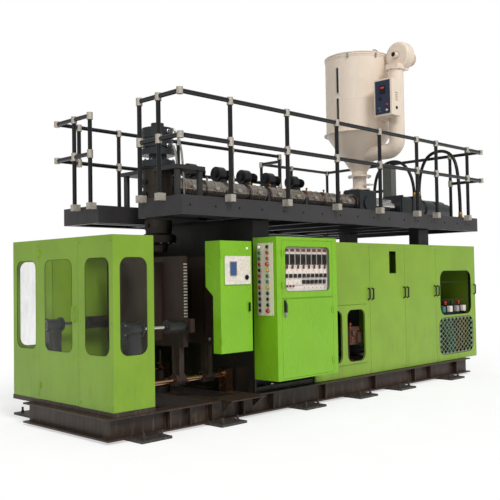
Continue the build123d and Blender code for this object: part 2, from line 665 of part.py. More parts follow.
# Deck plates welded on their joists, in four panels inside the edge
JOIST_Z = (PLATFORM_BOTTOM + EDGE_WALL, PLATFORM_BOTTOM + EDGE_WALL + JOIST_HEIGHT)
with BuildPart() as platform_deck:
    deck_z = (JOIST_Z[1], DECK_TOP)
    deck_y = (PLATFORM_NEAR + EDGE_WALL, PLATFORM_FAR - EDGE_WALL)
    deck_x = (NOTCH_X + EDGE_WALL, PLATFORM_X[1] - EDGE_WALL)
    block(deck_x, deck_y, deck_z)
    for station in JOIST_STATIONS + COLUMN_STATIONS:
        joist_mid = X0 + station
        block((joist_mid - JOIST_WIDTH / 2, joist_mid + JOIST_WIDTH / 2), deck_y, JOIST_Z)
    wing_x = (PLATFORM_X[0] + EDGE_WALL, deck_x[0] - SEAT)
    for wing_y in ((deck_y[0], NOTCH_Y[0] - EDGE_WALL), (NOTCH_Y[1] + EDGE_WALL, deck_y[1])):
        block(wing_x, wing_y, deck_z)
        rib_mid = (wing_y[0] + wing_y[1]) / 2
        block(wing_x, (rib_mid - JOIST_WIDTH / 2, rib_mid + JOIST_WIDTH / 2), JOIST_Z)
    landing_x = (LANDING_X + EDGE_WALL, deck_x[1])
    landing_y = (deck_y[1] + SEAT, LANDING_FAR - EDGE_WALL)
    block(landing_x, landing_y, deck_z)
    for share in (0.3, 0.7):
        rib_x = landing_x[0] + share * (landing_x[1] - landing_x[0])
        block((rib_x, rib_x + JOIST_WIDTH), landing_y, JOIST_Z)
    for station in HOSE_FITTINGS:
        fitting = Plane((X0 + station[0], Y0 + station[1], DECK_TOP))
        disc(fitting, HOSE_FITTING_RADIUS, HOSE_FITTING_HEIGHT)
        disc(fitting, HOSE_FITTING_RADIUS * 1.5, HOSE_FITTING_HEIGHT / 5)
        collar = fitting.offset(HOSE_FITTING_HEIGHT / 2)
        disc(collar, HOSE_FITTING_RADIUS * 1.25, HOSE_FITTING_HEIGHT / 4)
platform_deck.part.label = "platform_deck"
export_step(platform_deck.part, "parts/platform_deck.step")

# Columns from the base to the platform
with BuildPart() as platform_columns:
    for station in COLUMN_STATIONS:
        for y_mid in (AXIS_Y - COLUMN_OFFSET, AXIS_Y + COLUMN_OFFSET):
            column_x = (X0 + station - COLUMN_WIDTH / 2, X0 + station + COLUMN_WIDTH / 2)
            foot_x = (column_x[0] - COLUMN_FOOT, column_x[1] + COLUMN_FOOT)
            column_y = (y_mid - COLUMN_DEPTH / 2, y_mid + COLUMN_DEPTH / 2)
            block(column_x, column_y, (BASE_TOP, JOIST_Z[0]))
            block(foot_x, column_y, (BASE_TOP, BASE_TOP + COLUMN_FOOT))
platform_columns.part.label = "platform_columns"
export_step(platform_columns.part, "parts/platform_columns.step")

# Railing runs, as lists of fittings from one end to the other; each fitting is (x, y, has a post)
NEAR_RAIL = PLATFORM_NEAR - RAIL_OFFSET
FAR_RAIL = PLATFORM_FAR + RAIL_OFFSET
LANDING_RAIL = LANDING_FAR + RAIL_OFFSET
HEAD_END_RAIL = PLATFORM_X[0] - RAIL_OFFSET
DRIVE_END_RAIL = PLATFORM_X[1] + RAIL_OFFSET
LANDING_SIDE_RAIL = LANDING_X - RAIL_OFFSET
HEAD_CORNER = (HEAD_END_RAIL, NEAR_RAIL)
FAR_CORNER = (HEAD_END_RAIL, FAR_RAIL)
DRIVE_CORNER = (DRIVE_END_RAIL, NEAR_RAIL)
LANDING_CORNER = (DRIVE_END_RAIL, LANDING_RAIL)
LANDING_START = (LANDING_SIDE_RAIL, LANDING_RAIL)
NEAR_POINTS = [(X0 + station, NEAR_RAIL) for station in NEAR_POSTS]
HEAD_END_POINTS = [(HEAD_END_RAIL, Y0 + station) for station in HEAD_END_POSTS]
FAR_END_POINTS = [(HEAD_END_RAIL, Y0 + station) for station in FAR_END_POSTS]
FAR_POINTS = [(X0 + station, FAR_RAIL) for station in FAR_POSTS]
DRIVE_NEAR_POINT = (DRIVE_END_RAIL, Y0 + DRIVE_END_POST)
DRIVE_FAR_POINTS = [(DRIVE_END_RAIL, Y0 + station) for station in DRIVE_FAR_POSTS]
LANDING_POINTS = [(X0 + station, LANDING_RAIL) for station in LANDING_POSTS]
LANDING_SIDE_POINT = (LANDING_SIDE_RAIL, Y0 + LANDING_SIDE_POST)
NEAR_RUN = HEAD_END_POINTS[::-1] + [HEAD_CORNER] + NEAR_POINTS + [DRIVE_CORNER, DRIVE_NEAR_POINT]
FAR_RUN = FAR_END_POINTS + [FAR_CORNER] + FAR_POINTS
LANDING_RUN = [LANDING_SIDE_POINT, LANDING_START] + LANDING_POINTS + [LANDING_CORNER] + DRIVE_FAR_POINTS[::-1]
BARE_CORNERS = (HEAD_CORNER, DRIVE_CORNER, FAR_CORNER)
SPACER = FAR_POINTS[0]
POSTS = [point for run in (NEAR_RUN, FAR_RUN, LANDING_RUN) for point in run if point not in BARE_CORNERS]


def rail(start, end, height):
    """Adds a level rail between two fittings, its ends flat against their sleeves."""
    run = Vector(*end) - Vector(*start)
    origin = Vector(start[0], start[1], height) + run.normalized() * FITTING_RADIUS
    side = Vector(0, 0, 1)
    disc(Plane(origin=origin, x_dir=side, z_dir=run.normalized()), PIPE_RADIUS, run.length - 2 * FITTING_RADIUS)


CLAMP_TOP = PLATFORM_BOTTOM + EDGE_HEIGHT + CLAMP_HEIGHT - CLAMP_DROP
with BuildPart() as railing_pipes:
    for run in (NEAR_RUN, FAR_RUN, LANDING_RUN):
        for height in (MID_RAIL_HEIGHT, TOP_RAIL_HEIGHT):
            for start, end in zip(run, run[1:]):
                rail(start, end, height)
    rail(DRIVE_NEAR_POINT, DRIVE_FAR_POINTS[0], TOP_RAIL_HEIGHT)
    for point in POSTS:
        foot = MID_RAIL_HEIGHT - FITTING_HEIGHT / 2 if point == SPACER else CLAMP_TOP
        disc(Plane((*point, foot)), PIPE_RADIUS, TOP_RAIL_HEIGHT - FITTING_HEIGHT / 2 - foot)
railing_pipes.part.label = "railing_pipes"
export_step(railing_pipes.part, "parts/railing_pipes.step")

# Cast fittings: capped tops, sleeves round the posts, elbows at the bare corners, and post clamps
with BuildPart() as railing_fittings:
    cap_height = FITTING_HEIGHT / 2 + FITTING_RADIUS
    for point in POSTS:
        disc(Plane((*point, TOP_RAIL_HEIGHT - FITTING_HEIGHT / 2)), FITTING_RADIUS, cap_height)
        sleeve = Plane((*point, MID_RAIL_HEIGHT - FITTING_HEIGHT / 2))
        disc(sleeve, FITTING_RADIUS, FITTING_HEIGHT, PIPE_RADIUS)
    for point in BARE_CORNERS:
        for height in (MID_RAIL_HEIGHT, TOP_RAIL_HEIGHT):
            disc(Plane((*point, height - FITTING_RADIUS)), FITTING_RADIUS, 2 * FITTING_RADIUS)
    clamp_z = (CLAMP_TOP - CLAMP_HEIGHT, CLAMP_TOP)
    for x, y in POSTS:
        if (x, y) == SPACER:
            continue
        half = CLAMP_WIDTH / 2
        if y in (NEAR_RAIL, FAR_RAIL, LANDING_RAIL):
            face = {NEAR_RAIL: PLATFORM_NEAR, FAR_RAIL: PLATFORM_FAR, LANDING_RAIL: LANDING_FAR}[y]
            toward = 1 if face > y else -1
            anchor_x = min(max(x, PLATFORM_X[0] + half), PLATFORM_X[1] - half)
            palm_y = sorted((face, face - toward * CLAMP_PALM))
            grip_y = sorted((face, y - toward * FITTING_RADIUS))
            block((anchor_x - half, anchor_x + half), palm_y, clamp_z)
            block((x - FITTING_RADIUS, x + FITTING_RADIUS), grip_y, clamp_z)
        else:
            edges = {LANDING_SIDE_RAIL: LANDING_X, HEAD_END_RAIL: PLATFORM_X[0], DRIVE_END_RAIL: PLATFORM_X[1]}
            face = edges[x]
            toward = 1 if face > x else -1
            palm_x = sorted((face, face - toward * CLAMP_PALM))
            grip_x = sorted((face, x - toward * FITTING_RADIUS))
            block(palm_x, (y - half, y + half), clamp_z)
            block(grip_x, (y - FITTING_RADIUS, y + FITTING_RADIUS), clamp_z)
railing_fittings.part.label = "railing_fittings"
export_step(railing_fittings.part, "parts/railing_fittings.step")

# Enclosure: four lift-off panels on a frame of square posts
PANEL_X = X0 + PANEL_STATION
PANEL_Y = (Y0 + PANEL_SETBACK, Y0 + PANEL_SETBACK + PANEL_DEPTH)
PANEL_Z = (BASE_TOP + PANEL_JOINT, PANEL_TOP)
INNER_PANEL_Z = (PANEL_Z[0] + SHEET, PANEL_Z[1] - SHEET)
SEAMS = [PANEL_X + sum(PANEL_WIDTHS[:count]) for count in range(len(PANEL_WIDTHS) + 1)]


def panel_span(number):
    """Returns the low and high X of a panel, less half a joint at each seam."""
    return (SEAMS[number] + PANEL_JOINT / 2, SEAMS[number + 1] - PANEL_JOINT / 2)


def cut_window(bounds, radius, y=PANEL_Y):
    """Cuts a rounded window, given as stations and heights, through the face of a panel."""
    mid = (X0 + (bounds[0] + bounds[1]) / 2, y[0], (bounds[2] + bounds[3]) / 2)
    window_y(*mid, bounds[1] - bounds[0], bounds[3] - bounds[2], radius)


with BuildPart() as side_panel_1:
    pan(panel_span(0), PANEL_Y, PANEL_Z)
    cut_window(HATCH, CORNER_RADIUS)
side_panel_1.part.label = "side_panel_1"
export_step(side_panel_1.part, "parts/side_panel_1.step")

with BuildPart() as side_panel_2:
    pan(panel_span(1), PANEL_Y, PANEL_Z)
    cut_window(SLOT_WINDOW, SLOT_RADIUS)
side_panel_2.part.label = "side_panel_2"
export_step(side_panel_2.part, "parts/side_panel_2.step")

with BuildPart() as side_panel_3:
    pan(panel_span(2), PANEL_Y, PANEL_Z)
side_panel_3.part.label = "side_panel_3"
export_step(side_panel_3.part, "parts/side_panel_3.step")

with BuildPart() as side_panel_4:
    pan(panel_span(3), PANEL_Y, PANEL_Z)
    cut_window(END_WINDOW, END_WINDOW_RADIUS)
    cut_window(MESH_WINDOW, END_WINDOW_RADIUS)
side_panel_4.part.label = "side_panel_4"
export_step(side_panel_4.part, "parts/side_panel_4.step")

# Inspection hatch with two rounded windows, hinged on its right edge
with BuildPart() as hatch_door:
    hatch_x = (X0 + HATCH[0] + DOOR_GAP, X0 + HATCH[1] - DOOR_GAP)
    hatch_z = (HATCH[2] + DOOR_GAP, HATCH[3] - DOOR_GAP)
    hatch_mid = ((hatch_x[0] + hatch_x[1]) / 2, (hatch_z[0] + hatch_z[1]) / 2)
    with BuildSketch(along_y(hatch_mid[0], PANEL_Y[0] - HATCH_PROUD, hatch_mid[1])) as hatch_face:
        RectangleRounded(hatch_x[1] - hatch_x[0], hatch_z[1] - hatch_z[0], CORNER_RADIUS - DOOR_GAP)
    extrude(amount=HATCH_PROUD + SHEET)
    for window in HATCH_WINDOWS:
        cut_window(window, HATCH_WINDOW_RADIUS, (PANEL_Y[0] - HATCH_PROUD, PANEL_Y[0]))
    knuckles(X0 + HATCH[1], PANEL_Y[0] - HINGE_RADIUS - SEAT, (HATCH[2], HATCH[3]))
hatch_door.part.label = "hatch_door"
export_step(hatch_door.part, "parts/hatch_door.step")

# Handles on the panels
with BuildPart() as panel_handles:
    for station in HANDLE_STATIONS:
        with BuildSketch(along_x(X0 + station - HANDLE_BAR / 2, PANEL_Y[0], HANDLE_HEIGHT)) as grip:
            with BuildLine():
                Polyline(
                    (0, 0), (-HANDLE_REACH, HANDLE_BAR), (-HANDLE_REACH, HANDLE_LENGTH - HANDLE_BAR),
                    (0, HANDLE_LENGTH), (0, HANDLE_LENGTH - HANDLE_BAR),
                    (HANDLE_BAR - HANDLE_REACH, HANDLE_LENGTH - 2 * HANDLE_BAR),
                    (HANDLE_BAR - HANDLE_REACH, 2 * HANDLE_BAR), (0, HANDLE_BAR), close=True,
                )
            make_face()
        extrude(amount=HANDLE_BAR)
panel_handles.part.label = "panel_handles"
export_step(panel_handles.part, "parts/panel_handles.step")

# Expanded-metal grille behind the lower window of the last panel
with BuildPart() as mesh_grille:
    grille_x = (X0 + MESH_WINDOW[0] - GRILLE_LAP, X0 + MESH_WINDOW[1] + GRILLE_LAP)
    grille_z = (MESH_WINDOW[2] - GRILLE_LAP, MESH_WINDOW[3] + GRILLE_LAP)
    grille_y = PANEL_Y[0] + SHEET
    block(grille_x, (grille_y, grille_y + SHEET), grille_z)
    mesh_width = (MESH_WINDOW[1] - MESH_WINDOW[0]) / MESH_COLUMNS
    mesh_height = (MESH_WINDOW[3] - MESH_WINDOW[2]) / MESH_ROWS
    grille_mid = ((grille_x[0] + grille_x[1]) / 2, (grille_z[0] + grille_z[1]) / 2)
    with BuildSketch(along_y(grille_mid[0], grille_y, grille_mid[1])) as diamonds:
        rows = (
            GridLocations(mesh_width, mesh_height, MESH_COLUMNS, MESH_ROWS),
            GridLocations(mesh_width, mesh_height, MESH_COLUMNS - 1, MESH_ROWS - 1),
        )
        half_width = (mesh_width - MESH_STRAND) / 2
        half_height = (mesh_height - MESH_STRAND) / 2
        for row in rows:
            with row:
                Polygon((-half_width, 0), (0, -half_height), (half_width, 0), (0, half_height))
    extrude(amount=SHEET, mode=Mode.SUBTRACT)
mesh_grille.part.label = "mesh_grille"
export_step(mesh_grille.part, "parts/mesh_grille.step")

# Frame of square posts and rails that the panels hang on
REAR_PANEL_Y = (PANEL_Y[0] + ENCLOSURE_WIDTH - PANEL_DEPTH, PANEL_Y[0] + ENCLOSURE_WIDTH)
BULKHEAD_X = X0 + CABINET_STATION
with BuildPart() as enclosure_frame:
    post_z = (BASE_TOP, PANEL_TOP)
    first_post = BULKHEAD_X + BULKHEAD_THICKNESS
    last_post = SEAMS[-1] - PANEL_DEPTH - POST_SIZE
    for post_y in ((PANEL_Y[1], PANEL_Y[1] + POST_SIZE), (REAR_PANEL_Y[0] - POST_SIZE, REAR_PANEL_Y[0])):
        for post_x in [first_post] + [seam - POST_SIZE / 2 for seam in SEAMS[:-1]]:
            block((post_x, post_x + POST_SIZE), post_y, post_z)
        block((last_post, last_post + POST_SIZE), post_y, (PANEL_Z[0], PANEL_TOP))
        starts = [first_post + POST_SIZE] + [seam + POST_SIZE / 2 for seam in SEAMS[:-1]]
        ends = [seam - POST_SIZE / 2 for seam in SEAMS[:-1]] + [last_post]
        for start, end in zip(starts, ends):
            for rail_z in (PANEL_Z[0], PANEL_TOP - POST_SIZE):
                block((start + SEAT, end - SEAT), post_y, (rail_z, rail_z + POST_SIZE))
    for rail_z in (CABINET_BOTTOM + POST_SIZE, CABINET_TOP - 3 * POST_SIZE):
        hanger_x = (first_post, PANEL_X)
        block(hanger_x, (Y0 + CABINET_DEPTH - CABINET_REACH, PANEL_Y[1] - SEAT), (rail_z, rail_z + POST_SIZE))
    tie_y = (PANEL_Y[1] + POST_SIZE + SEAT, REAR_PANEL_Y[0] - POST_SIZE - SEAT)
    for rail_z in (PANEL_Z[0], PANEL_TOP - POST_SIZE):
        block((last_post, last_post + POST_SIZE), tie_y, (rail_z, rail_z + POST_SIZE))
enclosure_frame.part.label = "enclosure_frame"
export_step(enclosure_frame.part, "parts/enclosure_frame.step")

# Plain panels at the back and the drive end, and the fixed guard behind the mould area
with BuildPart() as rear_panels:
    rear_seams = [first_post] + SEAMS
    for start, end in zip(rear_seams, rear_seams[1:]):
        block((start + PANEL_JOINT / 2, end - PANEL_JOINT / 2), REAR_PANEL_Y, PANEL_Z)
        rear_inner = (start + PANEL_JOINT / 2 + SHEET, end - PANEL_JOINT / 2 - SHEET)
        rear_depth = (REAR_PANEL_Y[0], REAR_PANEL_Y[1] - SHEET)
        block(rear_inner, rear_depth, (PANEL_Z[0] + SHEET, PANEL_Z[1] - SHEET), Mode.SUBTRACT)
    guard_x = (X0 + GUARD_LENGTH + PANEL_JOINT, BULKHEAD_X - PANEL_JOINT)
    guard_z = (BASE_TOP + SEAT, PANEL_TOP)
    block(guard_x, REAR_PANEL_Y, guard_z)
    guard_inner = (guard_x[0] + SHEET, guard_x[1] - SHEET)
    block(guard_inner, rear_depth, (guard_z[0] + SHEET, guard_z[1] - SHEET), Mode.SUBTRACT)
    end_y = (PANEL_Y[1] + PANEL_JOINT, REAR_PANEL_Y[0] - PANEL_JOINT)
    end_x = (SEAMS[-1] - PANEL_DEPTH, SEAMS[-1])
    block(end_x, end_y, PANEL_Z)
    block((end_x[0], end_x[1] - SHEET), (end_y[0] + SHEET, end_y[1] - SHEET), INNER_PANEL_Z, Mode.SUBTRACT)
rear_panels.part.label = "rear_panels"
export_step(rear_panels.part, "parts/rear_panels.step")

# Bulkhead between the mould area and the enclosure, with the bracket of the operator station
with BuildPart() as bulkhead:
    bulkhead_x = (BULKHEAD_X, BULKHEAD_X + BULKHEAD_THICKNESS)
    bulkhead_y = (Y0 + CABINET_DEPTH - CABINET_REACH, REAR_PANEL_Y[1])
    block(bulkhead_x, bulkhead_y, (BASE_TOP, PLATFORM_BOTTOM - PANEL_JOINT))
    bracket_x = (X0 + STATION_START + STATION_WIDTH, BULKHEAD_X)
    bracket_y = (Y0 + BRACKET_SETBACK, Y0 + BRACKET_SETBACK + POST_SIZE)
    block(bracket_x, bracket_y, (STATION_TOP - BRACKET_HEIGHT - POST_SIZE, STATION_TOP - POST_SIZE))
bulkhead.part.label = "bulkhead"
export_step(bulkhead.part, "parts/bulkhead.step")

# Control cabinet: a welded box with two door openings in its front
CABINET_X = (BULKHEAD_X, BULKHEAD_X + CABINET_LENGTH)
CABINET_Y = (Y0 - CABINET_REACH, Y0 - CABINET_REACH + CABINET_DEPTH)
CABINET_Z = (CABINET_BOTTOM, CABINET_TOP)
CABINET_INNER_X = (CABINET_X[0] + CABINET_WALL, CABINET_X[1] - CABINET_WALL)
DOOR_X = (CABINET_X[0] + DOOR_MARGIN, CABINET_X[1] - DOOR_MARGIN)
LOWER_DOOR_Z = (CABINET_Z[0] + CABINET_FRAME / 2, CABINET_SPLIT - DOOR_GAP)
UPPER_DOOR_Z = (CABINET_SPLIT + DOOR_GAP, CABINET_Z[1] - CABINET_FRAME)
DOOR_FRONT = (CABINET_Y[0], CABINET_Y[0] + CABINET_DOOR_THICKNESS)


def inset(span, gap):
    """Returns a span made smaller by the gap at both ends."""
    return (span[0] + gap, span[1] - gap)


with BuildPart() as cabinet_shell:
    block(CABINET_X, CABINET_Y, CABINET_Z)
    block(CABINET_INNER_X, inset(CABINET_Y, CABINET_WALL), inset(CABINET_Z, CABINET_WALL), Mode.SUBTRACT)
    for door_z in (LOWER_DOOR_Z, UPPER_DOOR_Z):
        block(DOOR_X, (CABINET_Y[0], CABINET_Y[0] + CABINET_WALL), door_z, Mode.SUBTRACT)
cabinet_shell.part.label = "cabinet_shell"
export_step(cabinet_shell.part, "parts/cabinet_shell.step")

# Lower door, hinged on its right edge, with its swing handle
with BuildPart() as cabinet_door:
    pan(inset(DOOR_X, DOOR_GAP), DOOR_FRONT, inset(LOWER_DOOR_Z, DOOR_GAP))
    handle_x = DOOR_X[0] + HANDLE_INSET
    handle_z = (LOWER_DOOR_Z[1] - CABINET_HANDLE_LENGTH - DOOR_GAP * 4, LOWER_DOOR_Z[1] - DOOR_GAP * 4)
    with BuildSketch(along_x(handle_x - HANDLE_BAR, DOOR_FRONT[0], handle_z[0])) as lever:
        with BuildLine():
            Polyline(
                (0, 0), (-CABINET_HANDLE, HANDLE_BAR), (-CABINET_HANDLE, CABINET_HANDLE_LENGTH * 0.7),
                (-HANDLE_BAR / 2, CABINET_HANDLE_LENGTH), (0, CABINET_HANDLE_LENGTH), close=True,
            )
        make_face()
    extrude(amount=2 * HANDLE_BAR)
    knuckles(DOOR_X[1], DOOR_FRONT[0] - HINGE_RADIUS - SEAT, LOWER_DOOR_Z)
    leaf_x = (DOOR_X[1] - DOOR_GAP - HINGE_LEAF, DOOR_X[1] - DOOR_GAP)
    leaves(leaf_x, (DOOR_FRONT[0] - HINGE_RADIUS, DOOR_FRONT[0]), LOWER_DOOR_Z)
cabinet_door.part.label = "cabinet_door"
export_step(cabinet_door.part, "parts/cabinet_door.step")

# Upper door with the instrument window, hinged on its left edge
DISPLAY_MID = (sum(DOOR_X) / 2, sum(UPPER_DOOR_Z) / 2)
DISPLAY_WIDTH = DOOR_X[1] - DOOR_X[0] - 2 * DISPLAY_MARGIN
with BuildPart() as window_door:
    pan(inset(DOOR_X, DOOR_GAP), DOOR_FRONT, inset(UPPER_DOOR_Z, DOOR_GAP))
    display = (DISPLAY_MID[0], DOOR_FRONT[0], DISPLAY_MID[1])
    window_y(*display, DISPLAY_WIDTH, DISPLAY_HEIGHT, DISPLAY_RADIUS)
    knuckles(DOOR_X[0], DOOR_FRONT[0] - HINGE_RADIUS - SEAT, UPPER_DOOR_Z)
    leaf_x = (DOOR_X[0] + DOOR_GAP, DOOR_X[0] + DOOR_GAP + HINGE_LEAF)
    leaves(leaf_x, (DOOR_FRONT[0] - HINGE_RADIUS, DOOR_FRONT[0]), UPPER_DOOR_Z)
window_door.part.label = "window_door"
export_step(window_door.part, "parts/window_door.step")

with BuildPart() as window_pane:
    pane_seat = (DISPLAY_MID[0], DOOR_FRONT[0] + SHEET, DISPLAY_MID[1])
    pane_size = (DISPLAY_WIDTH + 2 * PANE_LAP, DISPLAY_HEIGHT + 2 * PANE_LAP)
    window_y(*pane_seat, *pane_size, DISPLAY_RADIUS, Mode.ADD, SHEET)
window_pane.part.label = "window_pane"
export_step(window_pane.part, "parts/window_pane.step")

# Instrument panel behind the window: breakers, temperature controllers and relays
with BuildPart() as instrument_panel:
    panel_front = CABINET_Y[0] + CONTROLLER_SETBACK
    panel_z = (UPPER_DOOR_Z[0] + CABINET_FRAME, UPPER_DOOR_Z[1] - CABINET_FRAME)
    block(CABINET_INNER_X, (panel_front, panel_front + SHEET), panel_z)
    for count, width, height, level in CONTROLLER_ROWS:
        pitch = DISPLAY_WIDTH / count
        row_plane = Plane.XZ.offset(-panel_front)
        with BuildSketch(row_plane) as row:
            with Locations((DISPLAY_MID[0], DISPLAY_MID[1] + level)):
                with GridLocations(pitch, 0, count, 1):
                    Rectangle(min(width, pitch - DOOR_GAP), height)
        extrude(amount=CONTROLLER_DEPTH)
instrument_panel.part.label = "instrument_panel"
export_step(instrument_panel.part, "parts/instrument_panel.step")

# Push-button plate on the cabinet's side, with its lamps, buttons and selectors
PLATE_X = (CABINET_X[0] - CONTROL_PLATE_THICKNESS, CABINET_X[0])
PLATE_Y = (Y0 + CONTROL_PLATE[0], Y0 + CONTROL_PLATE[1])
BUTTON_TOP = CONTROL_PLATE[3] - BUTTON_EDGE
BUTTON_PLACES = [
    (Y0 + column, BUTTON_TOP - row * BUTTON_PITCH, row)
    for column in BUTTON_COLUMNS
    for row in range(BUTTON_ROWS)
]
STOP_PLACES = [place for place in BUTTON_PLACES if place[2] in STOP_ROWS and place[0] == Y0 + BUTTON_COLUMNS[1]]


def facing_operator(x, y, z):
    """Returns the plane that looks out of the cabinet's side, towards the guard."""
    return Plane(origin=(x, y, z), x_dir=(0, -1, 0), z_dir=(-1, 0, 0))


with BuildPart() as control_plate:
    block(PLATE_X, PLATE_Y, (CONTROL_PLATE[2], CONTROL_PLATE[3]))
    for y, z, row in BUTTON_PLACES:
        if (y, z, row) not in STOP_PLACES:
            disc(facing_operator(PLATE_X[0], y, z), BUTTON_RADIUS, BUTTON_HEIGHT)
    for y, z, row in STOP_PLACES:
        disc(facing_operator(PLATE_X[0], y, z), BUTTON_RADIUS, STOP_TRAVEL, STOP_RADIUS / 2 + SEAT)
control_plate.part.label = "control_plate"
export_step(control_plate.part, "parts/control_plate.step")


def stop_button(place):
    """Adds a mushroom-headed emergency stop, its travel clear of its collar."""
    root = PLATE_X[0] - 2 * STOP_TRAVEL - SEAT
    face = Plane(origin=(root, place[0], place[1]), x_dir=(0, 0, 1), z_dir=(0, 1, 0))
    cap = STOP_RADIUS
    neck = cap * 0.8
    turned(face, [
        (0, 0), (neck, 0), (cap, -STOP_RIM[0]), (cap, -STOP_RIM[1]), (neck, -STOP_RIM[2]), (0, -STOP_RIM[2]),
    ])
    disc(facing_operator(root - 1, *place[:2]), cap / 2, -STOP_TRAVEL - 1)


with BuildPart() as upper_stop:
    stop_button(STOP_PLACES[0])
upper_stop.part.label = "upper_stop"
export_step(upper_stop.part, "parts/upper_stop.step")

with BuildPart() as lower_stop:
    stop_button(STOP_PLACES[1])
lower_stop.part.label = "lower_stop"
export_step(lower_stop.part, "parts/lower_stop.step")

# Operator station: a box that is deeper above its sloping knee
STATION_X = (X0 + STATION_START, X0 + STATION_START + STATION_WIDTH)
STATION_FRONT = Y0 - STATION_REACH
STATION_BODY = STATION_FRONT + CABINET_DOOR_THICKNESS + SEAT


def station_section(wall):
    """Draws the station's outline seen from the guard, moved in by a wall."""
    deep = STATION_FRONT + STATION_DEEP - wall
    shallow = STATION_FRONT + STATION_SHALLOW - wall
    with BuildSketch(along_x(STATION_X[0] + wall, 0, 0)) as section:
        with BuildLine():
            Polyline(
                (STATION_BODY, STATION_BOTTOM + wall), (STATION_BODY, STATION_TOP - wall),
                (deep, STATION_TOP - wall), (deep, STATION_KNEE + STATION_SLOPE + wall / 2),
                (shallow, STATION_KNEE + wall / 2), (shallow, STATION_BOTTOM + wall), close=True,
            )
        make_face()
    return section.sketch


with BuildPart() as station_box:
    extrude(station_section(0), amount=STATION_WIDTH)
    extrude(station_section(CABINET_WALL), amount=STATION_WIDTH - 2 * CABINET_WALL, mode=Mode.SUBTRACT)
station_box.part.label = "station_box"
export_step(station_box.part, "parts/station_box.step")

with BuildPart() as station_door:
    pan(STATION_X, (STATION_FRONT, STATION_FRONT + CABINET_DOOR_THICKNESS), (STATION_BOTTOM, STATION_TOP))
    screen_x = (X0 + SCREEN_FRAME[0], X0 + SCREEN_FRAME[1])
    screen_z = (SCREEN_FRAME[2], SCREEN_FRAME[3])
    block(screen_x, (STATION_FRONT - SCREEN_PROUD, STATION_FRONT), screen_z)
    keypad = (X0 + KEYPAD[0], STATION_FRONT - SCREEN_PROUD, KEYPAD[1])
    disc(Plane(origin=keypad, x_dir=(1, 0, 0), z_dir=(0, -1, 0)), KEYPAD[2], SCREEN_PROUD)
    lock_x = (STATION_X[1] - HANDLE_INSET - 2 * HANDLE_BAR, STATION_X[1] - HANDLE_INSET)
    block(lock_x, (STATION_FRONT - HANDLE_BAR, STATION_FRONT), STATION_LOCK)
    knuckles(STATION_X[0], STATION_FRONT - HINGE_RADIUS - SEAT, (STATION_BOTTOM, STATION_TOP))
    leaf_x = (STATION_X[0], STATION_X[0] + HINGE_LEAF)
    leaves(leaf_x, (STATION_FRONT - HINGE_RADIUS, STATION_FRONT), (STATION_BOTTOM, STATION_TOP))
station_door.part.label = "station_door"
export_step(station_door.part, "parts/station_door.step")

# Accumulator head, hung in the notch from its bridge plate
BRIDGE_TOP = BRIDGE_BOTTOM + BRIDGE_THICKNESS
with BuildPart() as die_head:
    turned(upright(HEAD_X, AXIS_Y), [
        (0, DIE_BOTTOM + MANDREL_DEPTH), (DIE_BORE, DIE_BOTTOM + MANDREL_DEPTH),
        (DIE_BORE, DIE_BOTTOM + DIE_CHAMFER[1]), (DIE_BORE + DIE_CHAMFER[0], DIE_BOTTOM),
        *((radius, DIE_BOTTOM + rise) for radius, rise in DIE_NOSE),
        (HEAD_WAIST, PLATFORM_BOTTOM + WAIST_RISE[0]), (HEAD_RADIUS, PLATFORM_BOTTOM + WAIST_RISE[1]),
        (HEAD_RADIUS, BRIDGE_TOP), (HEAD_FLANGE, BRIDGE_TOP), (HEAD_FLANGE, FEED_TOP - FLANGE_CHAMFER),
        (HEAD_FLANGE - FLANGE_CHAMFER, FEED_TOP), (0, FEED_TOP),
    ])
    boss = along_x(HEAD_X, AXIS_Y, BARREL_AXIS_HEIGHT)
    disc(boss, BARREL_RADIUS + BAND_THICKNESS, HEAD_BOSS)
die_head.part.label = "die_head"
export_step(die_head.part, "parts/die_head.step")

with BuildPart() as head_bridge:
    bridge_x = (HEAD_X - BRIDGE_SPAN[0], HEAD_X + BRIDGE_SPAN[1])
    bridge_y = (AXIS_Y - BRIDGE_HALF_WIDTH, AXIS_Y + BRIDGE_HALF_WIDTH)
    block(bridge_x, bridge_y, (BRIDGE_BOTTOM, BRIDGE_TOP))
    hanger = Plane((HEAD_X, AXIS_Y, BRIDGE_BOTTOM))
    disc(hanger, HEAD_RADIUS + SEAT, BRIDGE_THICKNESS, mode=Mode.SUBTRACT)
    for x in inset(bridge_x, LEG_RADIUS + BEAM_WEB):
        for y in inset(bridge_y, LEG_RADIUS + BEAM_WEB):
            disc(Plane((x, y, DECK_TOP)), LEG_RADIUS, BRIDGE_BOTTOM - DECK_TOP)
            disc(Plane((x, y, DECK_TOP)), LEG_RADIUS * 1.6, BEAM_FLANGE)
head_bridge.part.label = "head_bridge"
export_step(head_bridge.part, "parts/head_bridge.step")

# Ram cylinder on top of the head
with BuildPart() as ram_cylinder:
    turned(upright(HEAD_X, AXIS_Y, FEED_TOP), [
        (0, 0), (HEAD_FLANGE, 0), (HEAD_FLANGE, RAM_FOOT), (RAM_NECK, RAM_FOOT),
        (RAM_NECK, RAM_COLLAR[0][1]), *RAM_COLLAR, *RAM_RINGS, *RAM_CAP,
    ])
    for rise, radius in RAM_BOLT_CIRCLES:
        with BuildSketch(Plane((HEAD_X, AXIS_Y, FEED_TOP + rise))) as heads:
            with PolarLocations(radius, RAM_BOLTS):
                RegularPolygon(RAM_BOLT_SIZE[0], 6)
        extrude(amount=RAM_BOLT_SIZE[1])
ram_cylinder.part.label = "ram_cylinder"
export_step(ram_cylinder.part, "parts/ram_cylinder.step")

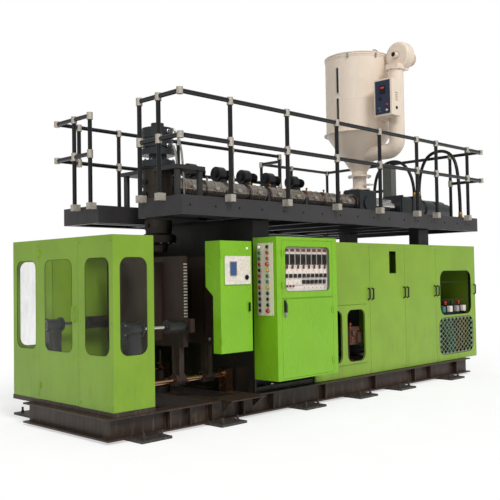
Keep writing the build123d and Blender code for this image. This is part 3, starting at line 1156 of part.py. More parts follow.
# Die mandrel, which rises and falls in the die to set the wall of the parison
with BuildPart() as die_mandrel:
    turned(upright(HEAD_X, AXIS_Y, DIE_BOTTOM), [
        (0, -MANDREL_REACH), (MANDREL_TIP, -MANDREL_REACH), *MANDREL_WAIST,
        (DIE_BORE - SEAT, MANDREL_GUIDE[0]), (DIE_BORE - SEAT, MANDREL_GUIDE[1]), *MANDREL_STEM,
    ])
die_mandrel.part.label = "die_mandrel"
export_step(die_mandrel.part, "parts/die_mandrel.step")

# Extruder barrel and its screw
BARREL_START = HEAD_X + HEAD_BOSS
FEED_X = (X0 + FEED_START, X0 + FEED_START + FEED_LENGTH)
GEARBOX_X = (FEED_X[1] + COVER_LENGTH, FEED_X[1] + COVER_LENGTH + GEARBOX_LENGTH)
BARREL_LENGTH = FEED_X[0] - BARREL_START
with BuildPart() as extruder_barrel:
    barrel_plane = along_x(BARREL_START, AXIS_Y, BARREL_AXIS_HEIGHT)
    disc(barrel_plane, BARREL_RADIUS, BARREL_LENGTH)
    disc(barrel_plane, BARREL_FLANGE, FLANGE_THICKNESS)
    disc(barrel_plane.offset(BARREL_LENGTH - FLANGE_THICKNESS), BARREL_FLANGE, FLANGE_THICKNESS)
    disc(barrel_plane.offset(FLANGE_THICKNESS), BARREL_BORE, BARREL_LENGTH, mode=Mode.SUBTRACT)
extruder_barrel.part.label = "extruder_barrel"
export_step(extruder_barrel.part, "parts/extruder_barrel.step")

SCREW_RADIUS = BARREL_BORE - SCREW_CLEARANCE
SCREW_START = BARREL_START + 2 * FLANGE_THICKNESS
with BuildPart() as extruder_screw:
    screw_plane = along_x(SCREW_START, AXIS_Y, BARREL_AXIS_HEIGHT)
    disc(screw_plane, SCREW_CORE, GEARBOX_X[0] - SEAT - SCREW_START)
    flight_length = FEED_X[1] - SCREW_START - 2 * FLIGHT_PITCH
    with BuildLine() as flight_path:
        Helix(
            pitch=FLIGHT_PITCH, height=flight_length, radius=SCREW_CORE,
            center=(SCREW_START + FLIGHT_PITCH, AXIS_Y, BARREL_AXIS_HEIGHT), direction=(1, 0, 0),
        )
    flight_start = flight_path.line @ 0
    outward = flight_start - Vector(flight_start.X, AXIS_Y, BARREL_AXIS_HEIGHT)
    with BuildSketch(Plane(origin=flight_start, x_dir=outward, z_dir=flight_path.line % 0)) as flight:
        Rectangle(2 * (SCREW_RADIUS - SCREW_CORE), FLIGHT_WIDTH)
    sweep(path=flight_path.line, is_frenet=True)
extruder_screw.part.label = "extruder_screw"
export_step(extruder_screw.part, "parts/extruder_screw.step")

# Heater bands round the barrel
BAND_PITCH = (BARREL_LENGTH - 2 * FLANGE_THICKNESS) / BAND_COUNT
with BuildPart() as heater_bands:
    for count in range(BAND_COUNT):
        band_x = FLANGE_THICKNESS + (count + 0.5) * BAND_PITCH - BAND_LENGTH / 2
        band_plane = barrel_plane.offset(band_x)
        disc(band_plane, BARREL_RADIUS + BAND_THICKNESS, BAND_LENGTH, BARREL_RADIUS + SEAT)
heater_bands.part.label = "heater_bands"
export_step(heater_bands.part, "parts/heater_bands.step")

# Cooling blowers along the barrel's far side: a fan drum, its motor and a duct to the bands
with BuildPart() as cooling_blowers:
    for station in BLOWER_STATIONS:
        fan_y = AXIS_Y + FAN_OFFSET
        fan_plane = along_x(X0 + station - BLOWER_WIDTH / 2, fan_y, FAN_HEIGHT)
        disc(fan_plane, BLOWER_RADIUS, BLOWER_WIDTH)
        disc(fan_plane.offset(-FLANGE_THICKNESS / 2), BLOWER_RADIUS * 0.55, FLANGE_THICKNESS / 2)
        disc(fan_plane.offset(BLOWER_WIDTH), BLOWER_RADIUS * 0.62, BLOWER_WIDTH * 1.3)
        duct_x = (X0 + station - BLOWER_WIDTH * 0.35, X0 + station + BLOWER_WIDTH * 0.35)
        duct_y = (AXIS_Y + BARREL_RADIUS + BAND_THICKNESS + SEAT, fan_y + BLOWER_RADIUS * 0.4)
        block(duct_x, duct_y, (BARREL_AXIS_HEIGHT - BARREL_RADIUS / 2, FAN_HEIGHT - BLOWER_RADIUS * 0.8))
cooling_blowers.part.label = "cooling_blowers"
export_step(cooling_blowers.part, "parts/cooling_blowers.step")

# Bed on the deck that carries the barrel's saddles, the feed housing and the gearbox
BED_TOP = DECK_TOP + BED_HEIGHT
with BuildPart() as extruder_bed:
    bed_x = (BARREL_START + BAND_PITCH, GEARBOX_X[1])
    for side in (-1, 1):
        rail_y = sorted((AXIS_Y + side * FEED_HALF_WIDTH, AXIS_Y + side * (FEED_HALF_WIDTH - BED_RAIL)))
        block(bed_x, rail_y, (DECK_TOP, BED_TOP))
    bed_inner_y = (AXIS_Y - FEED_HALF_WIDTH + BED_RAIL, AXIS_Y + FEED_HALF_WIDTH - BED_RAIL)
    for count in range(2, BAND_COUNT, 2):
        saddle_x = BARREL_START + FLANGE_THICKNESS + count * BAND_PITCH
        block((saddle_x - SADDLE / 2, saddle_x + SADDLE / 2), bed_inner_y, (DECK_TOP, BARREL_AXIS_HEIGHT))
    saddle_bore = BARREL_RADIUS + SEAT
    disc(barrel_plane, saddle_bore, BARREL_LENGTH, mode=Mode.SUBTRACT)
extruder_bed.part.label = "extruder_bed"
export_step(extruder_bed.part, "parts/extruder_bed.step")

# Feed housing under the hopper
with BuildPart() as feed_housing:
    with BuildSketch(along_x(FEED_X[0], AXIS_Y, (BED_TOP + FEED_TOP) / 2)) as housing:
        RectangleRounded(2 * FEED_HALF_WIDTH, FEED_TOP - BED_TOP, FEED_CORNER)
    extrude(amount=FEED_LENGTH)
    side_cover = Plane(
        origin=(HOPPER_X, AXIS_Y - FEED_HALF_WIDTH, BARREL_AXIS_HEIGHT), x_dir=(1, 0, 0), z_dir=(0, -1, 0),
    )
    disc(side_cover, FEED_HALF_WIDTH * 0.7, FLANGE_THICKNESS / 2)
    housing_bore = along_x(FEED_X[0], AXIS_Y, BARREL_AXIS_HEIGHT)
    disc(housing_bore, BARREL_BORE, FEED_LENGTH, mode=Mode.SUBTRACT)
    throat = Plane((HOPPER_X, AXIS_Y, BARREL_AXIS_HEIGHT))
    disc(throat, BARREL_BORE, FEED_TOP - BARREL_AXIS_HEIGHT, mode=Mode.SUBTRACT)
feed_housing.part.label = "feed_housing"
export_step(feed_housing.part, "parts/feed_housing.step")

# Bright thrust-bearing sleeve between the feed housing and the gearbox
with BuildPart() as thrust_sleeve:
    sleeve_plane = along_x(FEED_X[1], AXIS_Y, BARREL_AXIS_HEIGHT)
    disc(sleeve_plane, COVER_RADIUS, COVER_LENGTH, BARREL_BORE)
thrust_sleeve.part.label = "thrust_sleeve"
export_step(thrust_sleeve.part, "parts/thrust_sleeve.step")

# Gearbox, with the upright terminal box of the drive on it
with BuildPart() as gearbox:
    with BuildSketch(along_x(GEARBOX_X[0], AXIS_Y, (BED_TOP + GEARBOX_TOP) / 2)) as case:
        RectangleRounded(2 * GEARBOX_HALF_WIDTH, GEARBOX_TOP - BED_TOP, GEARBOX_CORNER)
    extrude(amount=GEARBOX_LENGTH)
    case_y = (AXIS_Y - GEARBOX_HALF_WIDTH, AXIS_Y + GEARBOX_HALF_WIDTH)
    foot_y = inset(case_y, -GEARBOX_FOOT[1])
    block(inset(GEARBOX_X, GEARBOX_FOOT[0]), foot_y, (BED_TOP, BED_TOP + FLANGE_THICKNESS))
    for share in GEARBOX_RIBS:
        rib_x = GEARBOX_X[0] + share * GEARBOX_LENGTH
        block((rib_x, rib_x + FLANGE_THICKNESS), inset(case_y, -RIB_PROUD), (BED_TOP, GEARBOX_TOP + RIB_PROUD))
    terminal_x = (GEARBOX_X[0] + TERMINAL_BOX_INSET, GEARBOX_X[0] + TERMINAL_BOX_INSET + TERMINAL_BOX_WIDTH)
    terminal_y = (AXIS_Y + TERMINAL_BOX_INSET, AXIS_Y + TERMINAL_BOX_INSET + TERMINAL_BOX_WIDTH)
    block(terminal_x, terminal_y, (GEARBOX_TOP - 2 * FLANGE_THICKNESS, GEARBOX_TOP + TERMINAL_BOX_HEIGHT))
gearbox.part.label = "gearbox"
export_step(gearbox.part, "parts/gearbox.step")

with BuildPart() as drive_motor:
    turned(lying(GEARBOX_X[1], AXIS_Y, BARREL_AXIS_HEIGHT), [
        (0, 0), *((MOTOR_RADIUS - cut, length) for cut, length in MOTOR_CUTS),
        (MOTOR_RADIUS - MOTOR_CUTS[-1][0], MOTOR_LENGTH - MOTOR_NOSE[0]),
        (MOTOR_RADIUS - MOTOR_NOSE[1], MOTOR_LENGTH), (0, MOTOR_LENGTH),
    ])
    for port_y in (AXIS_Y - MOTOR_PORT_SPREAD, AXIS_Y + MOTOR_PORT_SPREAD):
        port = Plane((GEARBOX_X[1] + MOTOR_PORT, port_y, BARREL_AXIS_HEIGHT))
        disc(port, PORT_RADIUS, MOTOR_RADIUS + HOSE_PORT)
drive_motor.part.label = "drive_motor"
export_step(drive_motor.part, "parts/drive_motor.step")

# Hopper dryer: a thin-walled drum and cone, with sight strips on the side that faces the head
HOPPER_OUTER = HOPPER_RADIUS + FLANGE_LIP
THROAT_TOP = CONE_BOTTOM - CONE_NECK
with BuildPart() as hopper_body:
    turned(upright(HOPPER_X, AXIS_Y), [
        (OUTLET_RADIUS, THROAT_TOP), (OUTLET_RADIUS, CONE_BOTTOM), (HOPPER_RADIUS, HOPPER_BOTTOM),
        (HOPPER_OUTER, HOPPER_BOTTOM), (HOPPER_OUTER, HOPPER_BOTTOM + 2 * HOPPER_WALL),
        (HOPPER_RADIUS, HOPPER_BOTTOM + 2 * HOPPER_WALL), (HOPPER_RADIUS, HOPPER_TOP),
        (HOPPER_RADIUS - HOPPER_WALL, HOPPER_TOP), (HOPPER_RADIUS - HOPPER_WALL, HOPPER_BOTTOM),
        (OUTLET_RADIUS - HOPPER_WALL, CONE_BOTTOM), (OUTLET_RADIUS - HOPPER_WALL, THROAT_TOP),
    ])
    for strip_z in SIGHT_STRIPS:
        strip_x = (HOPPER_X - HOPPER_RADIUS - HOPPER_WALL, HOPPER_X - HOPPER_RADIUS + HOPPER_WALL / 2)
        block(strip_x, (AXIS_Y - SIGHT_WIDTH / 2, AXIS_Y + SIGHT_WIDTH / 2), strip_z)
    inlet = Plane(
        origin=(HOPPER_X + DUCT_OFFSET[0], AXIS_Y, DUCT_INLET_HEIGHT), x_dir=(1, 0, 0), z_dir=(0, -1, 0),
    )
    disc(inlet, DUCT_RADIUS - 2 * HOPPER_WALL, HOPPER_RADIUS, mode=Mode.SUBTRACT)
hopper_body.part.label = "hopper_body"
export_step(hopper_body.part, "parts/hopper_body.step")

with BuildPart() as hopper_lid:
    lid_z = HOPPER_TOP + SEAT
    turned(upright(HOPPER_X, AXIS_Y, lid_z), [
        (0, LID_CROWN - LID_THICKNESS / 2), (HOPPER_RADIUS - LID_LIP, 0), (HOPPER_RADIUS + LID_LIP, 0),
        (HOPPER_RADIUS + LID_LIP, LID_THICKNESS), (HOPPER_RADIUS - LID_LIP, LID_THICKNESS), (0, LID_CROWN),
    ])
    barrel_end = along_x(HOPPER_X - HINGE_LENGTH, AXIS_Y + HOPPER_RADIUS + LID_LIP, HOPPER_TOP)
    disc(barrel_end, HINGE_RADIUS, 2 * HINGE_LENGTH)
hopper_lid.part.label = "hopper_lid"
export_step(hopper_lid.part, "parts/hopper_lid.step")

# Flanged throat with its slide gate, between the cone and the feed housing
with BuildPart() as hopper_throat:
    throat_height = THROAT_TOP - FEED_TOP
    turned(upright(HOPPER_X, AXIS_Y, FEED_TOP), [
        (BARREL_BORE, 0), (THROAT_FLANGE, 0), (THROAT_FLANGE, THROAT_FOOT), (THROAT_RADIUS, THROAT_FOOT),
        (THROAT_RADIUS, throat_height - THROAT_HEAD), (THROAT_FLANGE + THROAT_LIP, throat_height - THROAT_HEAD),
        (THROAT_FLANGE + THROAT_LIP, throat_height), (BARREL_BORE, throat_height),
    ])
    gate_z = (FEED_TOP + GATE_RISE[0], FEED_TOP + GATE_RISE[1])
    gate_y = (AXIS_Y - THROAT_FLANGE - GATE_REACH, AXIS_Y - THROAT_RADIUS + HOPPER_WALL)
    block((HOPPER_X - THROAT_RADIUS / 2, HOPPER_X + THROAT_RADIUS / 2), gate_y, gate_z)
hopper_throat.part.label = "hopper_throat"
export_step(hopper_throat.part, "parts/hopper_throat.step")

# Hot-air duct: down from the blower, then round into the cone
DUCT_X = HOPPER_X + DUCT_OFFSET[0]
DUCT_Y = AXIS_Y + DUCT_OFFSET[1]
DUCT_TOP = BLOWER_HEIGHT - DRYER_BLOWER_RADIUS - HOPPER_WALL


def hopper_envelope(clearance):
    """Cuts the hopper's own outline, with a clearance all round, out of the part in hand."""
    reach = HOPPER_RADIUS + clearance
    turned(upright(HOPPER_X, AXIS_Y), [
        (0, CONE_BOTTOM - clearance), (OUTLET_RADIUS + clearance, CONE_BOTTOM - clearance),
        (reach, HOPPER_BOTTOM - clearance), (HOPPER_OUTER + clearance, HOPPER_BOTTOM - clearance),
        (HOPPER_OUTER + clearance, HOPPER_BOTTOM + 2 * HOPPER_WALL + clearance),
        (reach, HOPPER_BOTTOM + 2 * HOPPER_WALL + clearance), (reach, HOPPER_TOP), (0, HOPPER_TOP),
    ], Mode.SUBTRACT)


with BuildPart() as dryer_duct:
    straight = Plane((DUCT_X, DUCT_Y, DUCT_INLET_HEIGHT + DUCT_BEND))
    disc(straight, DUCT_RADIUS, DUCT_TOP - DUCT_INLET_HEIGHT - DUCT_BEND)
    with BuildSketch(straight) as bend_section:
        Circle(DUCT_RADIUS)
    bend_axis = Axis((DUCT_X, DUCT_Y + DUCT_BEND, DUCT_INLET_HEIGHT + DUCT_BEND), (1, 0, 0))
    revolve(bend_section.sketch, axis=bend_axis, revolution_arc=90)
    outlet = Plane(
        origin=(DUCT_X, DUCT_Y + DUCT_BEND, DUCT_INLET_HEIGHT), x_dir=(1, 0, 0), z_dir=(0, 1, 0),
    )
    disc(outlet, DUCT_RADIUS, -DUCT_OFFSET[1] - DUCT_BEND)
    disc(Plane((DUCT_X, DUCT_Y, DUCT_TOP - DUCT_FLANGE[1])), DUCT_RADIUS + DUCT_FLANGE[0], DUCT_FLANGE[1])
    for strap_z in (DRYER_BOX_BOTTOM, DRYER_BOX_BOTTOM + DRYER_BOX_HEIGHT):
        strap_x = (DUCT_X - DUCT_RADIUS / 2, DUCT_X + DUCT_RADIUS / 2)
        block(strap_x, (DUCT_Y, AXIS_Y), (strap_z, strap_z + STRAP_HEIGHT))
    hopper_envelope(SEAT)
dryer_duct.part.label = "dryer_duct"
export_step(dryer_duct.part, "parts/dryer_duct.step")

# Dryer blower: fan drum with its inlet towards the head, its motor behind and its outlet below
with BuildPart() as dryer_blower:
    drum_x = DUCT_X + DRYER_BLOWER_SHIFT - DRYER_BLOWER_WIDTH / 2
    flat = DRYER_BLOWER_RADIUS - DRYER_SHOULDER
    motor_end = DRYER_BLOWER_WIDTH + DRYER_MOTOR_LENGTH
    turned(lying(drum_x, DUCT_Y, BLOWER_HEIGHT), [
        (0, 0), (flat, 0), (DRYER_BLOWER_RADIUS, DRYER_SHOULDER),
        (DRYER_BLOWER_RADIUS, DRYER_BLOWER_WIDTH - DRYER_SHOULDER), (flat, DRYER_BLOWER_WIDTH),
        (INLET_RADIUS * 2.4, DRYER_BLOWER_WIDTH), (INLET_RADIUS * 2.4, motor_end - DRYER_SHOULDER / 2),
        (INLET_RADIUS * 2, motor_end), (0, motor_end),
    ])
    nozzle = along_x(drum_x - INLET_LENGTH, DUCT_Y, BLOWER_HEIGHT)
    disc(nozzle, INLET_RADIUS, INLET_LENGTH)
    disc(nozzle, INLET_RADIUS - HOPPER_WALL, INLET_LENGTH, mode=Mode.SUBTRACT)
    outlet_x = (DUCT_X - DUCT_RADIUS * 0.9, drum_x + DRYER_BLOWER_WIDTH - DRYER_SHOULDER)
    outlet_y = (DUCT_Y - DUCT_RADIUS * 0.9, DUCT_Y + DUCT_RADIUS * 0.9)
    block(outlet_x, outlet_y, (DUCT_TOP, BLOWER_HEIGHT - DRYER_BLOWER_RADIUS * 0.7))
dryer_blower.part.label = "dryer_blower"
export_step(dryer_blower.part, "parts/dryer_blower.step")

# Dryer control box on the duct
with BuildPart() as dryer_box:
    box_x = (DUCT_X - DUCT_RADIUS - SEAT - DRYER_BOX_SIZE[0], DUCT_X - DUCT_RADIUS - SEAT)
    box_y = (DUCT_Y - DRYER_BOX_SIZE[1] / 2, DUCT_Y + DRYER_BOX_SIZE[1] / 2)
    box_z = (DRYER_BOX_BOTTOM, DRYER_BOX_BOTTOM + DRYER_BOX_HEIGHT)
    block(box_x, box_y, box_z)
    fillet(dryer_box.edges().filter_by(Axis.X), radius=DRYER_BOX_CORNER)
    face_y = inset(box_y, DRYER_PLATE_INSET[0])
    block((box_x[0] - HOPPER_WALL, box_x[0]), face_y, inset(box_z, DRYER_PLATE_INSET[1]))
    for switch_z, switch_y in DRYER_SWITCHES:
        switch = facing_operator(box_x[0] - HOPPER_WALL, DUCT_Y + switch_y, DRYER_BOX_BOTTOM + switch_z)
        disc(switch, DRYER_SWITCH_RADIUS, DRYER_SWITCH_RADIUS)
dryer_box.part.label = "dryer_box"
export_step(dryer_box.part, "parts/dryer_box.step")

# Clamping unit: two cylinders on pedestals, their rods, the platens and the guide shafts
CYLINDER_Y = (AXIS_Y - CYLINDER_OFFSET, AXIS_Y + CYLINDER_OFFSET)
CYLINDER_X = (X0 + CYLINDER_STATION, X0 + CYLINDER_STATION + CYLINDER_LENGTH)
SHAFT_Y = (AXIS_Y - SHAFT_OFFSET, AXIS_Y + SHAFT_OFFSET)
PLATEN_FACE = (HEAD_X - MOULD_DAYLIGHT / 2, HEAD_X + MOULD_DAYLIGHT / 2)
with BuildPart() as clamp_cylinders:
    for y in CYLINDER_Y:
        pedestal_mid = X0 + CROSS_BEAM_STATIONS[0]
        pedestal_x = (pedestal_mid - HALF_BEAM, pedestal_mid + HALF_BEAM)
        block(pedestal_x, (y - PEDESTAL / 2, y + PEDESTAL / 2), (BASE_TOP, CLAMP_AXIS_HEIGHT))
        cylinder = along_x(CYLINDER_X[0], y, CLAMP_AXIS_HEIGHT)
        disc(cylinder, CYLINDER_RADIUS, CYLINDER_LENGTH)
        disc(cylinder, *CYLINDER_HEAD)
        disc(cylinder.offset(CYLINDER_LENGTH - CYLINDER_HEAD[1]), *CYLINDER_HEAD)
        bore = ROD_RADIUS + ROD_CLEARANCE
        disc(cylinder.offset(CYLINDER_HEAD[1]), bore, CYLINDER_LENGTH, mode=Mode.SUBTRACT)
clamp_cylinders.part.label = "clamp_cylinders"
export_step(clamp_cylinders.part, "parts/clamp_cylinders.step")

with BuildPart() as clamp_rods:
    rod_start = CYLINDER_X[0] + ROD_TAIL
    rod_end = PLATEN_FACE[0] - PLATEN_THICKNESS - SEAT
    for y in CYLINDER_Y:
        rod = along_x(rod_start, y, CLAMP_AXIS_HEIGHT)
        disc(rod, ROD_RADIUS, rod_end - rod_start)
        hub_end = rod_end - HUB_NECK
        disc(along_x(hub_end - HUB_LENGTH, y, CLAMP_AXIS_HEIGHT), HUB_RADIUS, HUB_LENGTH)
        disc(along_x(hub_end, y, CLAMP_AXIS_HEIGHT), HUB_RADIUS * 0.6, HUB_NECK)
clamp_rods.part.label = "clamp_rods"
export_step(clamp_rods.part, "parts/clamp_rods.step")


def platen(face, side):
    """Adds a platen whose mould face is given; side is the way from that face to its back."""
    back = face + side * PLATEN_THICKNESS
    span = sorted((face, back))
    block(span, (AXIS_Y - PLATEN_HALF_WIDTH, AXIS_Y + PLATEN_HALF_WIDTH), (PLATEN_BOTTOM, PLATEN_TOP))
    for y in SHAFT_Y:
        leg_y = (y - BUSH_RADIUS, y + BUSH_RADIUS)
        block(span, leg_y, (SHAFT_HEIGHT, PLATEN_BOTTOM))
        bush_x = (span[0] - BUSH_OVERHANG, span[1] + BUSH_OVERHANG)
        disc(along_x(bush_x[0], y, SHAFT_HEIGHT), BUSH_RADIUS, bush_x[1] - bush_x[0])
        bush_bore = along_x(bush_x[0], y, SHAFT_HEIGHT)
        disc(bush_bore, SHAFT_RADIUS + PLATEN_BUSH, bush_x[1] - bush_x[0], mode=Mode.SUBTRACT)
    for y in (AXIS_Y - RIB_OFFSET, AXIS_Y + RIB_OFFSET):
        rib_x = sorted((back, back + side * RIB_DEPTH))
        rib_z = (PLATEN_BOTTOM + RIB_WIDTH, PLATEN_TOP - RIB_WIDTH)
        block(rib_x, (y - RIB_WIDTH / 2, y + RIB_WIDTH / 2), rib_z)


with BuildPart() as front_platen:
    platen(PLATEN_FACE[0], -1)
    for y, side in zip(CYLINDER_Y, (1, -1)):
        ear_y = sorted((y - side * HUB_RADIUS, y + side * (HUB_RADIUS + BUSH_OVERHANG)))
        ear_z = (CLAMP_AXIS_HEIGHT - HUB_RADIUS, CLAMP_AXIS_HEIGHT + HUB_RADIUS)
        block((PLATEN_FACE[0] - PLATEN_THICKNESS, PLATEN_FACE[0]), ear_y, ear_z)
front_platen.part.label = "front_platen"
export_step(front_platen.part, "parts/front_platen.step")

with BuildPart() as rear_platen:
    platen(PLATEN_FACE[1], 1)
rear_platen.part.label = "rear_platen"
export_step(rear_platen.part, "parts/rear_platen.step")

with BuildPart() as guide_shafts:
    for y in SHAFT_Y:
        disc(along_x(X0 + SHAFT_START, y, SHAFT_HEIGHT), SHAFT_RADIUS, SHAFT_END - SHAFT_START)
        for station in (CROSS_BEAM_STATIONS[0], CROSS_BEAM_STATIONS[2]):
            stand_x = (X0 + station - STAND / 2, X0 + station + STAND / 2)
            block(stand_x, (y - STAND / 2, y + STAND / 2), (BASE_TOP, SHAFT_HEIGHT + STAND / 2))
guide_shafts.part.label = "guide_shafts"
export_step(guide_shafts.part, "parts/guide_shafts.step")

# Blow pin that rises into the mould from below
with BuildPart() as blow_pin:
    turned(upright(HEAD_X, AXIS_Y, BASE_TOP + SEAT), [
        (0, 0), (PIN_FOOT, 0), (PIN_FOOT, PIN_STEPS[0]), (PIN_FOOT * 0.5, PIN_STEPS[1]),
        (PIN_FOOT * 0.5, PIN_STEPS[2]), (PIN_RADIUS, PIN_STEPS[3]), (PIN_RADIUS, PIN_STEPS[4]),
        (PIN_RADIUS * 0.4, PIN_STEPS[5]), (0, PIN_STEPS[5]),
    ])
blow_pin.part.label = "blow_pin"
export_step(blow_pin.part, "parts/blow_pin.step")

# Hydraulic unit inside the enclosure: oil tank with its pump motor and valves on top
with BuildPart() as hydraulic_unit:
    tank_x = (X0 + TANK_STATION, X0 + TANK_STATION + TANK_SIZE[0])
    tank_mid = AXIS_Y + TANK_OFFSET
    tank_y = (tank_mid - TANK_SIZE[1] / 2, tank_mid + TANK_SIZE[1] / 2)
    tank_z = (BASE_TOP, BASE_TOP + TANK_SIZE[2])
    block(tank_x, tank_y, tank_z)
    pump = along_x(tank_x[0] + PUMP_RADIUS, tank_mid, tank_z[1] + PUMP_RADIUS * 1.2)
    disc(pump, PUMP_RADIUS, PUMP_RADIUS * 4)
    disc(pump.offset(PUMP_RADIUS * 4), PUMP_RADIUS * 0.5, PUMP_RADIUS * 2)
    pump_foot_x = (tank_x[0] + PUMP_RADIUS * 1.4, tank_x[0] + PUMP_RADIUS * 4)
    pump_foot_y = (tank_mid - PUMP_RADIUS * 0.6, tank_mid + PUMP_RADIUS * 0.6)
    block(pump_foot_x, pump_foot_y, (tank_z[1], tank_z[1] + PUMP_RADIUS))
    manifold_x = inset(tank_x, BEAM_FLANGE)
    manifold_y = (tank_y[0], tank_y[0] + VALVE_SIZE[1])
    manifold_top = tank_z[1] + MANIFOLD_HEIGHT
    block(manifold_x, manifold_y, (tank_z[1], manifold_top))
    valve_pitch = (manifold_x[1] - manifold_x[0]) / VALVE_COUNT
    for number in range(VALVE_COUNT):
        valve_start = manifold_x[0] + number * valve_pitch + (valve_pitch - VALVE_SIZE[0]) / 2
        valve_z = (manifold_top, manifold_top + VALVE_SIZE[2])
        block((valve_start, valve_start + VALVE_SIZE[0]), manifold_y, valve_z)
hydraulic_unit.part.label = "hydraulic_unit"
export_step(hydraulic_unit.part, "parts/hydraulic_unit.step")

# Hydraulic hoses of the screw drive: each runs from a port on the motor to a fitting in the deck.
# The routes repeat in scene.py; each inner corner is rounded by the widest arc that its runs allow.
HOSE_START = BARREL_AXIS_HEIGHT + MOTOR_RADIUS + HOSE_PORT + SEAT
HOSE_FOOT = DECK_TOP + HOSE_FITTING_HEIGHT + SEAT
PORT_X = GEARBOX_X[1] + MOTOR_PORT
FOOTINGS = [(X0 + station[0], Y0 + station[1]) for station in HOSE_FITTINGS]


def hose_route(side, footing, ends, crest):
    """Returns a hose's points: up from its port, over its crest and down to its fitting in the deck."""
    port_y = AXIS_Y + side * MOTOR_PORT_SPREAD
    return [
        (PORT_X, port_y, HOSE_START),
        (PORT_X, port_y, ends[0]),
        *((X0 + x, Y0 + y, crest[2]) for x, y in crest[:2]),
        (*footing, ends[1]),
        (*footing, HOSE_FOOT),
    ]


def corner_radii(route):
    """Returns the widest radius for each inner corner of a route, so that the arcs never meet."""
    radii = []
    for before, corner, after in zip(route, route[1:], route[2:]):
        arriving = Vector(*corner) - Vector(*before)
        leaving = Vector(*after) - Vector(*corner)
        half_turn = math.radians(arriving.get_angle(leaving) / 2)
        radii.append(ARC_SHARE * min(arriving.length, leaving.length) / math.tan(half_turn))
    return radii


def hose(route):
    """Adds a round hose along a route to the part in hand."""
    radii = corner_radii(route)
    print("hose radii", [round(radius) for radius in radii])
    with BuildLine() as centre:
        FilletPolyline(*route, radius=radii)
    with BuildSketch(Plane(origin=centre.line @ 0, z_dir=centre.line % 0)) as section:
        Circle(HOSE_RADIUS)
    sweep(section.sketch, path=centre.line)


with BuildPart() as drive_hose_front:
    hose(hose_route(-1, FOOTINGS[0], FRONT_HOSE_ENDS, FRONT_HOSE_CREST))
drive_hose_front.part.label = "drive_hose_front"
export_step(drive_hose_front.part, "parts/drive_hose_front.step")

with BuildPart() as drive_hose_rear:
    hose(hose_route(1, FOOTINGS[1], REAR_HOSE_ENDS, REAR_HOSE_CREST))
drive_hose_rear.part.label = "drive_hose_rear"
export_step(drive_hose_rear.part, "parts/drive_hose_rear.step")
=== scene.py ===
"""Looks of a blow moulding machine: a finish for each solid, and the small fittings that dress it."""

import json
import logging
import math
from dataclasses import dataclass, field
from enum import Enum
from typing import Iterable, Sequence, Union

import bmesh
import bpy
from mathutils import Matrix, Vector

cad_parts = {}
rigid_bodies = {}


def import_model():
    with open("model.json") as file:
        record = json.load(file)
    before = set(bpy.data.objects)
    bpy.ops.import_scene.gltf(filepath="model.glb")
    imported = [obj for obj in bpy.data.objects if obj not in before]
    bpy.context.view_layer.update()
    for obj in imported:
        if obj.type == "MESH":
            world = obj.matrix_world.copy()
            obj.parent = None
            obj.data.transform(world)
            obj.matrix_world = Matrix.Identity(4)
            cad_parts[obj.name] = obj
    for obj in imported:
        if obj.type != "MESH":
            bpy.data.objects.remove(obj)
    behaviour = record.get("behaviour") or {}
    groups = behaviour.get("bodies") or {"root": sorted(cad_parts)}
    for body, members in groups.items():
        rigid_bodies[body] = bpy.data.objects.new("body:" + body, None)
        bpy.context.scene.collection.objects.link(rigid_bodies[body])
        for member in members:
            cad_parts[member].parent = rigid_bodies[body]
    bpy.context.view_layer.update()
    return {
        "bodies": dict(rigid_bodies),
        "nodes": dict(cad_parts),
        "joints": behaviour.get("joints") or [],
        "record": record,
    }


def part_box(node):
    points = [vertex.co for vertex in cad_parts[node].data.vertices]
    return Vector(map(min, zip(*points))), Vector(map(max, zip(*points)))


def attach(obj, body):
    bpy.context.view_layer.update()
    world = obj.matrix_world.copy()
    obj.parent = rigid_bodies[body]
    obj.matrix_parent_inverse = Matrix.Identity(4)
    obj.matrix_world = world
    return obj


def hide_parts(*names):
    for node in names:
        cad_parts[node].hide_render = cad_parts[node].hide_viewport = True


LOG = logging.getLogger("blow_moulding_machine")
MILLIMETRE = 0.001
MACHINE = "machine"
HUB_PLANE = -2.8725
BLEND = 0.001
NOISE_SPAN = (0.3, 0.7)
SMOOTH_BELOW = 38.0

Feed = Union["Signal", int, float, Sequence[float]]
Pair = tuple[float, float]
Triple = tuple[float, float, float]
Colour = tuple[float, float, float, float]
Profile = tuple[Pair, ...]
Loop = list[bmesh.types.BMVert]


def linear(colour: str) -> Colour:
    """Turns a written colour into linear light.

    Args:
        colour: six hexadecimal digits, red first.

    Returns:
        Red, green, blue and a full alpha.
    """
    levels = [int(colour[start:start + 2], 16) / 255 for start in (0, 2, 4)]
    red, green, blue = (
        level / 12.92 if level <= 0.04045 else ((level + 0.055) / 1.055) ** 2.4 for level in levels
    )
    return red, green, blue, 1.0


def shaded(colour: str, share: float) -> Colour:
    """Turns a written colour into linear light, dimmed to a share."""
    red, green, blue, alpha = linear(colour)
    return red * share, green * share, blue * share, alpha


class Way(Enum):
    """The ways that a fitting can face: right, up and out of its face."""

    GUARD = (Vector((0, -1, 0)), Vector((0, 0, 1)))
    OPERATOR = (Vector((1, 0, 0)), Vector((0, 0, 1)))
    REAR = (Vector((-1, 0, 0)), Vector((0, 0, 1)))
    DRIVE = (Vector((0, 1, 0)), Vector((0, 0, 1)))
    UP = (Vector((1, 0, 0)), Vector((0, 1, 0)))
    DOWN = (Vector((-1, 0, 0)), Vector((0, 1, 0)))

    def at(self, place: Vector) -> Matrix:
        """Makes the frame of a fitting.

        Args:
            place: the frame's origin.

        Returns:
            A matrix whose Z points out of the face.
        """
        right, up = self.value
        out = right.cross(up)
        frame = Matrix((right, up, out)).transposed().to_4x4()
        return Matrix.Translation(place) @ frame


